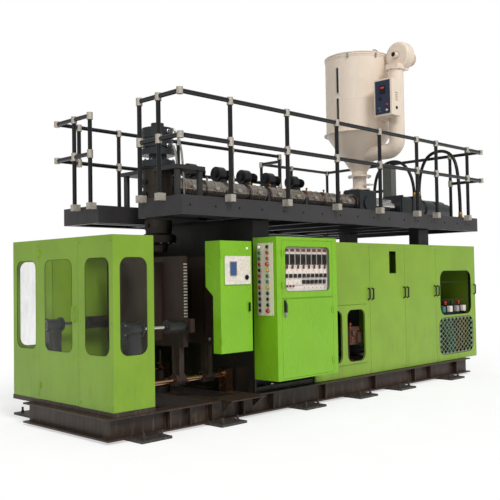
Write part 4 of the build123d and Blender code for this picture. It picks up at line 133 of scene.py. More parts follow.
class Signal:
    """A shader socket that takes part in Python arithmetic."""

    def __init__(self, graph: "Graph", socket: bpy.types.NodeSocket) -> None:
        """Keeps the socket and the graph that it belongs to."""
        self.graph = graph
        self.socket = socket

    def _math(self, operation: str, first: Feed, second: Feed = 0.0) -> "Signal":
        """Adds one Math node.

        Args:
            operation: the node's operation.
            first: its first value.
            second: its second value.

        Returns:
            The node's result.
        """
        return self.graph.add("ShaderNodeMath", {"operation": operation}, {0: first, 1: second})

    def __add__(self, other: Feed) -> "Signal":
        """Adds."""
        return self._math("ADD", self, other)

    def __sub__(self, other: Feed) -> "Signal":
        """Subtracts."""
        return self._math("SUBTRACT", self, other)

    def __rsub__(self, other: Feed) -> "Signal":
        """Subtracts from a number."""
        return self._math("SUBTRACT", other, self)

    def __mul__(self, other: Feed) -> "Signal":
        """Multiplies."""
        return self._math("MULTIPLY", self, other)

    def wave(self) -> "Signal":
        """Returns the sine."""
        return self._math("SINE", self)

    def ramp(self, low: float, high: float) -> "Signal":
        """Rises smoothly from 0 to 1.

        Args:
            low: where the rise starts.
            high: where it ends; below low, the ramp falls instead.

        Returns:
            A value from 0 to 1.
        """
        settings = {"interpolation_type": "SMOOTHSTEP"}
        sockets = {0: self, 1: low, 2: high, 3: 0.0, 4: 1.0}
        return self.graph.add("ShaderNodeMapRange", settings, sockets)


class Graph:
    """One material and the nodes that make it."""

    def __init__(self, name: str) -> None:
        """Starts an empty material."""
        self.material = bpy.data.materials.new(name)
        self.material.use_nodes = True
        self.tree = self.material.node_tree
        self.tree.nodes.clear()

    def add(
        self, kind: str, settings: dict[str, object] | None = None,
        sockets: dict[int | str, Feed] | None = None, output: int | str = 0,
    ) -> Signal:
        """Adds a node.

        Args:
            kind: the node's type.
            settings: properties set before its sockets.
            sockets: a value or a link for each socket named.
            output: the socket to return.

        Returns:
            The chosen output.
        """
        node = self.tree.nodes.new(kind)
        for name, value in (settings or {}).items():
            setattr(node, name, value)
        for name, value in (sockets or {}).items():
            if isinstance(value, Signal):
                self.tree.links.new(value.socket, node.inputs[name])
            else:
                node.inputs[name].default_value = value
        return Signal(self, node.outputs[output])

    def place(self, stretch: Triple = (1, 1, 1)) -> Signal:
        """Returns the point in the machine's own metres, stretched along its axes."""
        point = self.add("ShaderNodeTexCoord", output="Object")
        return self.add("ShaderNodeVectorMath", {"operation": "MULTIPLY"}, {0: point, 1: stretch})

    def _coordinate(self, axis: str) -> Signal:
        """Returns one coordinate of the point in the machine's own metres."""
        point = self.add("ShaderNodeTexCoord", output="Object")
        return self.add("ShaderNodeSeparateXYZ", None, {0: point}, axis)

    def height(self) -> Signal:
        """Returns the height over the floor."""
        return self._coordinate("Z")

    def along(self) -> Signal:
        """Returns the place along the machine."""
        return self._coordinate("X")

    def across(self) -> Signal:
        """Returns the place across the machine, from the operator's side to the rear."""
        return self._coordinate("Y")

    def noise(self, scale: float, detail: float = 4.0, stretch: Triple = (1, 1, 1)) -> Signal:
        """Adds fractal noise.

        Args:
            scale: features per metre.
            detail: octaves.
            stretch: how much finer it is along each axis.

        Returns:
            A value from 0 to 1.
        """
        sockets = {"Vector": self.place(stretch), "Scale": scale, "Detail": detail, "Roughness": 0.6}
        return self.add("ShaderNodeTexNoise", None, sockets, "Fac")

    def mix(self, share: Feed, first: Feed, second: Feed) -> Signal:
        """Blends two colours by a share."""
        return self.add("ShaderNodeMix", {"data_type": "RGBA"}, {0: share, 6: first, 7: second}, 2)

    def bump(self, relief: Signal, strength: float, depth: float) -> Signal:
        """Turns a relief into a normal.

        Args:
            relief: the height pattern.
            strength: how much it counts, from 0 to 1.
            depth: its depth in metres.

        Returns:
            The normal.
        """
        sockets = {"Strength": strength, "Distance": depth, "Height": relief}
        return self.add("ShaderNodeBump", None, sockets)

    def surface(self, sockets: dict[int | str, Feed]) -> bpy.types.Material:
        """Closes the material with a principled shader.

        Args:
            sockets: its values and links.

        Returns:
            The finished material.
        """
        shader = self.add("ShaderNodeBsdfPrincipled", None, sockets)
        self.add_output(shader)
        return self.material

    def add_output(self, shader: Signal) -> None:
        """Joins a shader to the material's output."""
        output = self.tree.nodes.new("ShaderNodeOutputMaterial")
        self.tree.links.new(shader.socket, output.inputs["Surface"])


@dataclass(frozen=True)
class Paint:
    """Sprayed enamel on steel: cloudy tone, dust low down, small chips and a slight orange peel.

    Inside the enclosure the panels get painted shade: a near-black colour where little light reaches. Its
    near face, its far face and its end are given in metres. A grip is a black lever over a steel foot. Its
    left and right edges, the face that it stands in front of and the top of its foot are given in metres.
    """

    name: str
    colour: str
    rough: float = 0.36
    cloud: float = 0.14
    dust: float = 0.45
    chips: float = 0.5
    undercoat: str = "4a443c"
    coat: float = 0.08
    dust_colour: str = "6f6552"
    dust_levels: Pair = (1.3, 0.15)
    # painted shade inside the enclosure: its near face, far face and end in metres, then the shade's colour
    shade_inside: Triple | None = None
    inside_shade_colour: str = "23211d"
    grip: tuple[float, float, float, float] | None = None
    grip_colour: str = "161618"
    foot_colour: str = "8f8a84"

    def _paint_inside_shade(self, graph: Graph, tone: Signal) -> Signal:
        """Paints shade, near black, over the panel faces that lie inside the enclosure.

        Args:
            graph: the material's nodes.
            tone: the colour before it.

        Returns:
            The colour after it.
        """
        near, far, end = self.shade_inside
        soft = 2 * BLEND
        # share of painted shade: between the near and far faces, and short of the end
        in_shade = graph.across().ramp(near - soft, near) * graph.across().ramp(far + soft, far)
        in_shade = in_shade * graph.along().ramp(end + soft, end)
        return graph.mix(in_shade, tone, linear(self.inside_shade_colour))

    def _lever(self, graph: Graph, tone: Signal) -> Signal:
        """Blackens the grip over its steel foot.

        Args:
            graph: the material's nodes.
            tone: the colour before it.

        Returns:
            The colour after it.
        """
        left, right, front, steel = self.grip
        on_foot = graph.height().ramp(steel + BLEND, steel)
        lever = graph.mix(on_foot, linear(self.grip_colour), linear(self.foot_colour))
        held = graph.along().ramp(left - BLEND, left) * graph.along().ramp(right + BLEND, right)
        return graph.mix(held * graph.across().ramp(front + BLEND, front), tone, lever)

    def make(self) -> bpy.types.Material:
        """Returns the material."""
        graph = Graph(self.name)
        dark = shaded(self.colour, 1 - self.cloud)
        cloud = graph.noise(1.7, 5)
        tone = graph.mix(cloud.ramp(*NOISE_SPAN), dark, linear(self.colour))
        runs = graph.noise(5.0, 4, (7, 7, 0.7)).ramp(0.5, 0.75)
        low = graph.height().ramp(*self.dust_levels)
        dusty = runs * (low * self.dust + 0.1 * self.dust)
        tone = graph.mix(dusty, tone, linear(self.dust_colour))
        spots = graph.noise(55, 3).ramp(0.72, 0.75) * graph.noise(2.6, 2).ramp(0.5, 0.7) * self.chips
        tone = graph.mix(spots, tone, linear(self.undercoat))
        # painted shade over the faces inside the enclosure
        if self.shade_inside:
            tone = self._paint_inside_shade(graph, tone)
        if self.grip:
            tone = self._lever(graph, tone)
        smear = graph.noise(9, 3, (1, 1, 0.35)).ramp(0.35, 0.8)
        rough = smear * 0.14 + dusty * 0.5 + spots * 0.3 + (self.rough - 0.05)
        peel = graph.noise(420, 1) * 0.25 - spots
        return graph.surface({
            "Base Color": tone, "Roughness": rough, "Normal": graph.bump(peel, 0.25, 0.0006),
            "Coat Weight": self.coat, "Coat Roughness": 0.12, "Specular IOR Level": 0.35,
        })


@dataclass(frozen=True)
class Metal:
    """Bare metal: bright and dull grain along one axis, and stains. Past its painted plane it is black."""

    name: str
    colour: str
    rough: float = 0.32
    grain: Triple = (1, 12, 12)
    stain: str = "3a322a"
    stained: float = 0.35
    metallic: float = 1.0
    painted: float | None = None
    paint: str = "1b1a19"
    relief: float = 0.18
    worn: float = 0.62

    def make(self) -> bpy.types.Material:
        """Returns the material."""
        graph = Graph(self.name)
        lines = graph.noise(38, 3, self.grain)
        tone = graph.mix(lines.ramp(*NOISE_SPAN), shaded(self.colour, self.worn), linear(self.colour))
        blots = graph.noise(4.5, 5).ramp(0.48, 0.72) * self.stained
        tone = graph.mix(blots, tone, linear(self.stain))
        rough = lines * 0.16 + blots * 0.45 + (self.rough - 0.08)
        metal = (1 - blots * 0.7) * self.metallic
        if self.painted is not None:
            coated = graph.along().ramp(self.painted, self.painted + BLEND)
            tone = graph.mix(coated, tone, linear(self.paint))
            metal = metal * (1 - coated)
            rough = rough + coated * 0.2
        normal = graph.bump(lines + graph.noise(160, 2) * 0.4, self.relief, 0.0008)
        return graph.surface({
            "Base Color": tone, "Roughness": rough, "Metallic": metal, "Normal": normal,
        })


@dataclass(frozen=True)
class HeatTint:
    """Bright sheet that heat has tinted bronze and blue in bands along the barrel."""

    name: str
    colour: str = "9d958b"
    bronze: str = "8a5a34"
    blue: str = "3f4660"
    pitch: float = 17.8
    tint: float = 0.75

    def make(self) -> bpy.types.Material:
        """Returns the material."""
        graph = Graph(self.name)
        wander = graph.noise(6, 3)
        band = (graph.along() * self.pitch + wander * 2.2).wave()
        warm = graph.mix(band.ramp(-0.2, 0.9), linear(self.colour), linear(self.bronze))
        cool = graph.mix(band.ramp(0.55, 1.0), warm, linear(self.blue))
        tone = graph.mix(wander.ramp(0.7, 0.35) * self.tint, linear(self.colour), cool)
        ripple = graph.noise(22, 4)
        rough = ripple * 0.2 + 0.12
        normal = graph.bump(ripple, 0.18, 0.0015)
        return graph.surface({
            "Base Color": tone, "Roughness": rough, "Metallic": 0.92, "Normal": normal,
        })


@dataclass(frozen=True)
class Plastic:
    """Moulded plastic or rubber: faint mottling, fine grain and rubbed spots."""

    name: str
    colour: str
    rough: float = 0.34
    grain: float = 0.2
    coat: float = 0.0
    gloss: float = 0.3
    rubbed: str = "8c877c"

    def make(self) -> bpy.types.Material:
        """Returns the material."""
        graph = Graph(self.name)
        mottle = graph.noise(30, 3).ramp(*NOISE_SPAN)
        tone = graph.mix(mottle, shaded(self.colour, 0.78), linear(self.colour))
        tone = graph.mix(graph.noise(7, 4).ramp(0.6, 0.85) * 0.3, tone, linear(self.rubbed))
        rough = graph.noise(24, 3) * 0.16 + (self.rough - 0.08)
        normal = graph.bump(graph.noise(700, 1), self.grain, 0.0004)
        return graph.surface({
            "Base Color": tone, "Roughness": rough, "Normal": normal, "Coat Weight": self.coat,
            "Specular IOR Level": self.gloss,
        })


@dataclass(frozen=True)
class Pane:
    """Clear sheet with a thin film of dust and wiping marks."""

    name: str
    colour: str = "77807c"
    alpha: float = 0.05
    film: float = 0.06
    dust_colour: str = "9a988c"

    def make(self) -> bpy.types.Material:
        """Returns the material."""
        graph = Graph(self.name)
        wiped = graph.noise(5, 4, (3, 3, 1)).ramp(0.35, 0.8)
        film = graph.noise(1.5, 3).ramp(0.4, 0.8)
        alpha = (wiped + film) * self.film + self.alpha
        tone = graph.mix(film, linear(self.colour), linear(self.dust_colour))
        return graph.surface({
            "Base Color": tone, "Roughness": wiped * 0.12 + 0.04, "Alpha": alpha, "Specular IOR Level": 0.3,
        })


@dataclass(frozen=True)
class Lamp:
    """Lit or lightable plastic: a small window, display or indicator."""

    name: str
    colour: str
    glow: float = 0.6

    def make(self) -> bpy.types.Material:
        """Returns the material."""
        graph = Graph(self.name)
        speckle = graph.noise(260, 2)
        tone = graph.mix(speckle.ramp(*NOISE_SPAN), shaded(self.colour, 0.55), linear(self.colour))
        return graph.surface({
            "Base Color": tone, "Roughness": speckle * 0.2 + 0.15, "Emission Color": tone,
            "Emission Strength": self.glow, "Coat Weight": 0.6,
        })


class Finish(Enum):
    """Every finish on the machine."""

    # the panels' faces inside the enclosure carry painted shade, near black
    PANEL_GREEN = Paint("panel_enamel", "82a62c", dust=0.3, shade_inside=(-1.189, 0.593, 2.997))
    CABINET_GREEN = Paint(
        "cabinet_enamel", "7bb51c", rough=0.3, cloud=0.1, dust=0.12, grip=(-1.713, -1.682, -1.57, 1.105),
    )
    GUARD_GREEN = Paint("guard_enamel", "7fa42b", rough=0.4, dust=0.3)
    INTERIOR = Paint(
        "interior_enamel", "1d1b18", rough=0.5, cloud=0.3, dust=0.3, chips=0.6, undercoat="4a4238",
    )
    BASE_BROWN = Paint("base_enamel", "36271f", rough=0.5, cloud=0.3, dust=0.5, chips=0.8, undercoat="5b4a3c")
    DECK_GREY = Paint("deck_enamel", "373537", rough=0.48, cloud=0.2, dust=0.3, chips=0.8, undercoat="7a746c")
    PIPE_BLACK = Paint("pipe_enamel", "121214", rough=0.26, dust=0.1, chips=0.8, undercoat="6e6a66")
    SLATE = Paint("drive_enamel", "23282b", rough=0.34, dust=0.2)
    PLATEN_BROWN = Paint(
        "platen_enamel", "33251e", rough=0.5, cloud=0.3, dust=0.5, chips=0.9, undercoat="8a7868",
    )
    IVORY = Paint("hopper_enamel", "e8d8c6", rough=0.24, cloud=0.06, dust=0.1, chips=0.3, undercoat="a89c8a")
    PANEL_CREAM = Paint(
        "instrument_enamel", "f3e6dc", rough=0.4, cloud=0.04, dust=0.0, chips=0.1, undercoat="9a9482",
    )
    CREAM = Paint("cream_enamel", "e2dcc4", rough=0.4, cloud=0.06, dust=0.1, chips=0.2, undercoat="9a9482")
    BLOWER_GREY = Paint("blower_enamel", "17171a", rough=0.36, dust=0.15)
    BOX_GREY = Paint("terminal_enamel", "63675f", rough=0.45)
    VALVE_BROWN = Paint("valve_enamel", "543a30", rough=0.45)
    TEAL = Paint("pipe_teal", "2f6a5e", rough=0.4)
    NAVY = Paint("navy_enamel", "28304a", rough=0.35, cloud=0.1, dust=0.1)
    STEEL = Metal("turned_steel", "b8b6b0")
    DARK_STEEL = Metal("dark_steel", "45403b", rough=0.42, stained=0.6)
    COPPER = Metal("copper_pipe", "b5653c", rough=0.3, stained=0.3)
    BRIGHT_ROD = Metal(
        "bright_rod", "d8d6d2", rough=0.14, grain=(14, 1, 1), stained=0.05, relief=0.03, worn=0.9,
    )
    HUB_ROD = Metal(
        "hub_rod", "d8d6d2", rough=0.12, grain=(14, 1, 1), stained=0.12, painted=HUB_PLANE, relief=0.03,
    )
    COPPER_ROD = Metal("oiled_rod", "c89a78", rough=0.2, grain=(14, 1, 1), stained=0.25)
    ZINC = Metal(
        "zinc_casting", "c9c1b4", rough=0.5, grain=(3, 3, 3), stain="6e665a", stained=0.35, metallic=0.55,
    )
    BRASS = Metal("brass", "a8844a", rough=0.35, stained=0.35)
    MESH_WIRE = Metal("mesh_wire", "7d8f6c", rough=0.5, stained=0.25, metallic=0.2)
    BARREL = HeatTint("tinted_barrel")
    PAD = Paint("pad_enamel", "3a3634", rough=0.55, cloud=0.3, dust=0.7, chips=0.6, undercoat="6b5a4a")
    RUBBER = Plastic("black_rubber", "1a1a1c", rough=0.62, grain=0.5)
    HOSE = Plastic("hose_rubber", "17181a", rough=0.42, grain=0.5)
    BLACK = Plastic("black_plastic", "141416", rough=0.36)
    GREY = Plastic("grey_plastic", "9a9c98", rough=0.4)
    OFF_WHITE = Plastic("off_white_plastic", "e6dcd0", rough=0.4)
    GRAPHITE = Plastic("graphite_plastic", "1a1817", rough=0.5, gloss=0.08)
    RUSSET = Plastic("russet_plastic", "6e342c", rough=0.36)
    RED = Plastic("red_plastic", "c2201c", rough=0.26, coat=0.5)
    YELLOW = Plastic("yellow_plastic", "e0b51e", rough=0.34)
    GREEN = Plastic("green_plastic", "1d7048", rough=0.28, coat=0.5)
    WHITE_LAMP = Lamp("white_lamp", "ece8da", 0.5)
    RED_DIGITS = Lamp("red_digits", "b02418", 0.9)
    SCREEN = Lamp("operator_screen", "24406e", 0.5)
    PANE = Pane("guard_pane", colour="6c675e", alpha=0.035, film=0.04)
    DISPLAY_PANE = Pane("display_pane", alpha=0.02, film=0.03)

    def material(self) -> bpy.types.Material:
        """Returns the material, made on first use."""
        known = bpy.data.materials.get(self.value.name)
        return known or self.value.make()


NODE_FINISHES: dict[Finish, str] = {
    Finish.PANEL_GREEN: "side_panel_1 side_panel_2 side_panel_3 side_panel_4 hatch_door rear_panels",
    Finish.GUARD_GREEN: "guard_near_wing guard_far_wing guard_door",
    Finish.INTERIOR: "bulkhead enclosure_frame hydraulic_unit",
    Finish.CABINET_GREEN: "cabinet_shell cabinet_door window_door station_box station_door",
    Finish.BASE_BROWN: "base_frame",
    Finish.PAD: "floor_pads",
    Finish.DECK_GREY: "platform_edge platform_deck platform_columns head_bridge extruder_bed",
    Finish.PIPE_BLACK: "railing_pipes",
    Finish.ZINC: "railing_fittings",
    Finish.SLATE: "gearbox drive_motor feed_housing ram_cylinder clamp_cylinders",
    Finish.PLATEN_BROWN: "front_platen rear_platen",
    Finish.IVORY: "hopper_body hopper_lid hopper_throat dryer_duct dryer_blower dryer_box",
    Finish.PANEL_CREAM: "instrument_panel",
    Finish.CREAM: "control_plate",
    Finish.DARK_STEEL: "die_head blow_pin",
    Finish.STEEL: "extruder_screw die_mandrel",
    Finish.BARREL: "extruder_barrel heater_bands",
    Finish.BLOWER_GREY: "cooling_blowers",
    Finish.BRIGHT_ROD: "thrust_sleeve",
    Finish.HUB_ROD: "clamp_rods",
    Finish.COPPER_ROD: "guide_shafts",
    Finish.MESH_WIRE: "mesh_grille",
    Finish.BLACK: "panel_handles",
    Finish.RED: "upper_stop lower_stop",
    Finish.PANE: "guard_panes guard_door_pane",
    Finish.DISPLAY_PANE: "window_pane",
    Finish.HOSE: "drive_hose_front drive_hose_rear",
}


def dress_nodes(nodes: dict[str, bpy.types.Object]) -> None:
    """Gives every solid its finish.

    Args:
        nodes: the frame's solids by name.
    """
    for finish, names in NODE_FINISHES.items():
        for name in names.split():
            if not nodes[name].material_slots:
                nodes[name].data.materials.append(finish.material())
            for slot in nodes[name].material_slots:
                slot.material = finish.material()
            LOG.info("%s: %s", name, finish.value.name)
    LOG.info("%d solids dressed", len(nodes))


@dataclass
class Shape:
    """A mesh under way, in the machine's metres. Its sizes are given in millimetres."""

    mesh: bmesh.types.BMesh = field(default_factory=bmesh.new)

    def _loop(self, frame: Matrix, points: Iterable[Triple]) -> Loop:
        """Adds a loop of points given in millimetres in a frame."""
        return [self.mesh.verts.new(frame @ (Vector(point) * MILLIMETRE)) for point in points]

    def _skin(self, loops: Sequence[Loop], closed: bool = False) -> "Shape":
        """Closes the walls between loops.

        Args:
            loops: the loops, in their order.
            closed: whether the last one joins the first, instead of a cap on each end.

        Returns:
            The shape itself.
        """
        following = [*loops[1:], loops[0]] if closed else loops[1:]
        for first, second in zip(loops, following):
            for index, corner in enumerate(first):
                after = (index + 1) % len(first)
                self.mesh.faces.new((corner, first[after], second[after], second[index]))
        if not closed:
            self.mesh.faces.new(list(reversed(loops[0])))
            self.mesh.faces.new(loops[-1])
        return self

    def prism(self, frame: Matrix, outline: Sequence[Pair], depth: float, soften: float = 0.0) -> "Shape":
        """Pulls a closed outline, counted against the clock, out of a face.

        Args:
            frame: the face's frame.
            outline: the corners.
            depth: how far it stands out.
            soften: how far its outer edge is cut back.

        Returns:
            The shape itself.
        """
        middle = Vector((sum(x for x, _ in outline), sum(y for _, y in outline))) / len(outline)
        levels = [(0.0, 0.0), (depth - soften, 0.0)] + ([(depth, soften)] if soften else [])
        loops = []
        for level, cut in levels:
            ring = []
            for x, y in outline:
                toward = Vector((x, y)) - middle
                shrunk = middle + toward * max(0.0, 1 - cut / max(toward.length, 1e-6))
                ring.append((shrunk.x, shrunk.y, level))
            loops.append(self._loop(frame, ring))
        return self._skin(loops)

    def plate(
        self, frame: Matrix, size: Pair, depth: float, corner: float = 3.0, soften: float = 1.0,
    ) -> "Shape":
        """Adds a plate with rounded corners, centred on its frame."""
        return self.prism(frame, rounded(size, corner), depth, soften)

    def rim(self, frame: Matrix, size: Pair, corner: float, width: float, depth: float) -> "Shape":
        """Adds a frame round an opening, such as a rubber seal.

        Args:
            frame: the face's frame, at the opening's middle.
            size: the opening's width and height.
            corner: the opening's corner radius.
            width: how wide the seal's face is.
            depth: how far it stands out.

        Returns:
            The shape itself.
        """
        inner, crest, outer = (
            rounded((size[0] + 2 * out, size[1] + 2 * out), corner + out, steps=6)
            for out in (0.0, width / 2, width)
        )
        shoulder = depth * 0.6
        lip = -2.0
        sections = ((outer, 0.0), (outer, shoulder), (crest, depth), (inner, shoulder), (inner, lip))
        loops = [self._loop(frame, [(x, y, level) for x, y in line]) for line, level in sections]
        return self._skin(loops, closed=True)

    def lathe(
        self, frame: Matrix, profile: Sequence[Pair], steps: int = 24, closed: bool = False,
    ) -> "Shape":
        """Turns a profile of radius and height about a frame's outward axis.

        Args:
            frame: the frame.
            profile: the points, from the foot up.
            steps: facets round the turn.
            closed: whether the profile is a ring that joins up.

        Returns:
            The shape itself.
        """
        loops = [
            self._loop(frame, [(x, y, level) for x, y in around(steps, radius)]) for radius, level in profile
        ]
        return self._skin(loops, closed)

    def band(
        self, frame: Matrix, inner: float, outer: float, height: float, steps: int, foot: float = 0.0,
    ) -> "Shape":
        """Adds a plain ring about a frame's outward axis.

        Args:
            frame: the frame.
            inner: its inner radius.
            outer: its outer radius.
            height: its height.
            steps: facets round it.
            foot: how far out it starts.

        Returns:
            The shape itself.
        """
        head = foot + height
        profile = ((inner, foot), (outer, foot), (outer, head), (inner, head))
        return self.lathe(frame, profile, steps, closed=True)

    def rod(self, start: Vector, end: Vector, radius: float, steps: int = 16) -> "Shape":
        """Adds a round bar with softened ends between two points."""
        axis = end - start
        frame = Matrix.Translation(start) @ axis.to_track_quat("Z", "Y").to_matrix().to_4x4()
        length = axis.length / MILLIMETRE
        edge = min(radius * 0.15, length * 0.2)
        profile = ((radius - edge, 0), (radius, edge), (radius, length - edge), (radius - edge, length))
        return self.lathe(frame, profile, steps)

    def pipe(self, route: Sequence[Vector], radius: float, steps: int = 12) -> "Shape":
        """Adds a bent rigid tube that follows a route smoothly.

        Args:
            route: the points that it passes.
            radius: its radius.
            steps: facets round it.

        Returns:
            The shape itself.
        """
        smooth = relaxed(route)
        loops = []
        side = Vector((0.31, 0.17, 0.93))
        for index, point in enumerate(smooth):
            ahead = smooth[min(index + 1, len(smooth) - 1)] - smooth[max(index - 1, 0)]
            ahead.normalize()
            side = (side - ahead * side.dot(ahead)).normalized()
            across = ahead.cross(side)
            ring = [point + (side * x + across * y) * radius * MILLIMETRE for x, y in around(steps, 1.0)]
            loops.append([self.mesh.verts.new(place) for place in ring])
        return self._skin(loops)

    def bolt(self, frame: Matrix, radius: float, height: float | None = None) -> "Shape":
        """Adds a hexagon head on its washer."""
        tall = height or radius * 0.7
        washer = radius * 0.2
        self.lathe(frame, ((radius * 1.35, 0), (radius * 1.35, washer)), steps=16)
        return self.prism(lifted(frame, washer), around(6, radius), tall, soften=radius * 0.15)

    def done(self, name: str, body: str, finish: Finish, slot: str) -> None:
        """Turns the mesh into a piece that rides on a body.

        Args:
            name: the piece's name.
            body: the body that it moves with.
            finish: its finish.
            slot: the record's material slot that it belongs to; not used.
        """
        bmesh.ops.recalc_face_normals(self.mesh, faces=self.mesh.faces)
        data = bpy.data.meshes.new(name)
        self.mesh.to_mesh(data)
        self.mesh.free()
        data.polygons.foreach_set("use_smooth", [True] * len(data.polygons))
        data.set_sharp_from_angle(angle=math.radians(SMOOTH_BELOW))
        data.materials.append(finish.material())
        piece = bpy.data.objects.new(name, data)
        bpy.context.scene.collection.objects.link(piece)
        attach(piece, body)
        LOG.info("%s: %d faces on %s", name, len(data.polygons), body)


def lifted(frame: Matrix, height: float) -> Matrix:
    """Moves a frame out of its face by a height in millimetres."""
    return frame @ Matrix.Translation((0, 0, height * MILLIMETRE))


def around(count: int, radius: float, first: float = 0.0) -> list[Pair]:
    """Spreads points evenly round the origin.

    Args:
        count: how many.
        radius: how far out they lie.
        first: where the first one lies, in steps from the way right.

    Returns:
        The points, counted against the clock.
    """
    angles = [2 * math.pi * (step + first) / count for step in range(count)]
    return [(radius * math.cos(angle), radius * math.sin(angle)) for angle in angles]


def rounded(size: Pair, corner: float, steps: int = 4) -> list[Pair]:
    """Draws a rectangle with rounded corners about the origin.

    Args:
        size: width and height.
        corner: the corner radius.
        steps: facets in each corner.

    Returns:
        The outline, counted against the clock.
    """
    wide, high = size[0] / 2 - corner, size[1] / 2 - corner
    middles = ((wide, high), (-wide, high), (-wide, -high), (wide, -high))
    outline = []
    for quarter, (x, y) in enumerate(middles):
        for step in range(steps + 1):
            angle = math.pi / 2 * (quarter + step / steps)
            outline.append((x + corner * math.cos(angle), y + corner * math.sin(angle)))
    return outline


def relaxed(route: Sequence[Vector], pieces: int = 8) -> list[Vector]:
    """Passes a smooth line through the points of a route.

    Args:
        route: the points.
        pieces: how many spans each run is given.

    Returns:
        The points of the smooth line.
    """
    ends = [route[0] * 2 - route[1], *route, route[-1] * 2 - route[-2]]
    line = []
    for before, start, end, after in zip(ends, ends[1:], ends[2:], ends[3:]):
        for step in range(pieces):
            t = step / pieces
            line.append(0.5 * (
                2 * start + (end - before) * t + (2 * before - 5 * start + 4 * end - after) * t * t
                + (3 * start - before - 3 * end + after) * t * t * t
            ))
    line.append(route[-1].copy())
    return line


@dataclass
class Layout:
    """Where the machine's stations lie, read from its solids."""

    origin: Vector

    @classmethod
    def read(cls) -> "Layout":
        """Takes the guard's outer corner on the floor as station zero."""
        low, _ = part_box("guard_near_wing")
        return cls(Vector((low.x, low.y, 0.0)))

    def at(self, x: float, y: float, z: float) -> Vector:
        """Turns stations in millimetres into a point of the frame."""
        return self.origin + Vector((x, y, z)) * MILLIMETRE

    def face(self, way: Way, x: float, y: float, z: float) -> Matrix:
        """Returns the frame of a fitting that faces a way at some stations."""
        return way.at(self.at(x, y, z))

    def ring(
        self, way: Way, centre: Triple, radius: float, count: int, first: float = 0.0,
    ) -> list[Matrix]:
        """Spreads frames evenly round a centre, in the plane that they face out of.

        Args:
            way: the way that they face.
            centre: the centre's stations.
            radius: how far out they lie.
            count: how many.
            first: where the first one lies, in steps from the way right.

        Returns:
            The frames.
        """
        x, y, z = centre
        right, up = way.value
        return [
            self.face(way, x + right.x * a + up.x * b, y + right.y * a + up.y * b, z + up.z * b)
            for a, b in around(count, radius, first)
        ]

    def near(self, node: str) -> float:
        """Returns the station of a solid's side towards the operator."""
        return (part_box(node)[0].y - self.origin.y) / MILLIMETRE

    @staticmethod
    def middle(node: str) -> Vector:
        """Returns the middle of a solid's box."""
        low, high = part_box(node)
        return (low + high) / 2

    @staticmethod
    def extent(node: str) -> Vector:
        """Returns the size of a solid's box in millimetres."""
        low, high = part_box(node)
        return (high - low) / MILLIMETRE


@dataclass(frozen=True)
class Opening:
    """A window's opening in a panel: its left and right, its foot and head, and its corner radius."""

    name: str
    sides: Pair
    levels: Pair
    corner: float


@dataclass
class Windows:
    """Rubber seals round the guard's, the doors' and the panels' windows."""

    layout: Layout
    seal: float = 4.0
    proud: float = 2.5
    lap: float = 12.0
    guard_corner: float = 85.0
    wing_middles: Pair = (261.5, 1560.5)
    wing_width: float = 385.0
    return_middle: float = 231.5
    return_width: float = 303.0
    rear_face: float = 1836.0
    display_corner: float = 50.0
    hatch_proud: float = 14.0
    panel_openings: tuple[Opening, ...] = (
        Opening("seal_slot", (4449, 4593), (1509, 1794), 5.0),
        Opening("seal_end", (5705, 6570), (891, 1528), 120.0),
        Opening("seal_mesh", (5660, 6608), (323, 852), 120.0),
    )
    hatch_openings: tuple[Opening, ...] = (
        Opening("seal_hatch_left", (3044, 3395), (421, 1056), 85.0),
        Opening("seal_hatch_right", (3508, 3859), (421, 1056), 85.0),
    )

    def _seal(self, name: str, body: str, frame: Matrix, size: Pair, corner: float) -> None:
        """Adds one seal."""
        shape = Shape().rim(frame, size, corner, self.seal, self.proud)
        shape.done(name, body, Finish.RUBBER, "hose_black")

    def _guard(self) -> None:
        """Adds the seals of the guard's door and its two wings, which turn the corner."""
        face = self.layout.face
        low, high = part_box("guard_door_pane")
        level = (low.z + high.z) / 2 / MILLIMETRE
        height = (high.z - low.z) / MILLIMETRE - 2 * self.lap
        door_width = (high.y - low.y) / MILLIMETRE - 2 * self.lap
        door_middle = ((low.y + high.y) / 2 - self.layout.origin.y) / MILLIMETRE
        near, far = self.wing_middles
        for name, body, frame, width in (
            ("door", "guard_door", face(Way.GUARD, 0, door_middle, level), door_width),
            ("near", MACHINE, face(Way.GUARD, 0, near, level), self.wing_width),
            ("far", MACHINE, face(Way.GUARD, 0, far, level), self.wing_width),
            ("side", MACHINE, face(Way.OPERATOR, self.return_middle, 0, level), self.return_width),
            ("back", MACHINE, face(Way.REAR, self.return_middle, self.rear_face, level), self.return_width),
        ):
            self._seal(f"seal_guard_{name}", body, frame, (width, height), self.guard_corner)

    def _display(self) -> None:
        """Adds the seal of the cabinet's window."""
        middle = Layout.middle("window_pane")
        size = Layout.extent("window_pane")
        frame = Way.OPERATOR.at(Vector((middle.x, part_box("cabinet_shell")[0].y, middle.z)))
        opening = (size.x - 2 * self.lap, size.z - 2 * self.lap)
        self._seal("seal_display", "window_door", frame, opening, self.display_corner)

    def _panel(self, openings: tuple[Opening, ...], body: str, station: float) -> None:
        """Adds the seals of the openings in one face.

        Args:
            openings: the openings.
            body: the body that the seals move with.
            station: where the face lies.
        """
        for opening in openings:
            left, right = opening.sides
            foot, head = opening.levels
            frame = self.layout.face(Way.OPERATOR, (left + right) / 2, station, (foot + head) / 2)
            self._seal(opening.name, body, frame, (right - left, head - foot), opening.corner)

    def build(self) -> None:
        """Adds every seal."""
        self._guard()
        self._display()
        self._panel(self.panel_openings, MACHINE, self.layout.near("side_panel_1"))
        self._panel(self.hatch_openings, "hatch_door", self.layout.near("side_panel_2") - self.hatch_proud)


class Knob(Enum):
    """The kinds of control on the operator's plate."""

    LAMP = Finish.WHITE_LAMP
    GO = Finish.GREEN
    HALT = Finish.RED
    WARN = Finish.YELLOW
    SELECT = Finish.BLACK


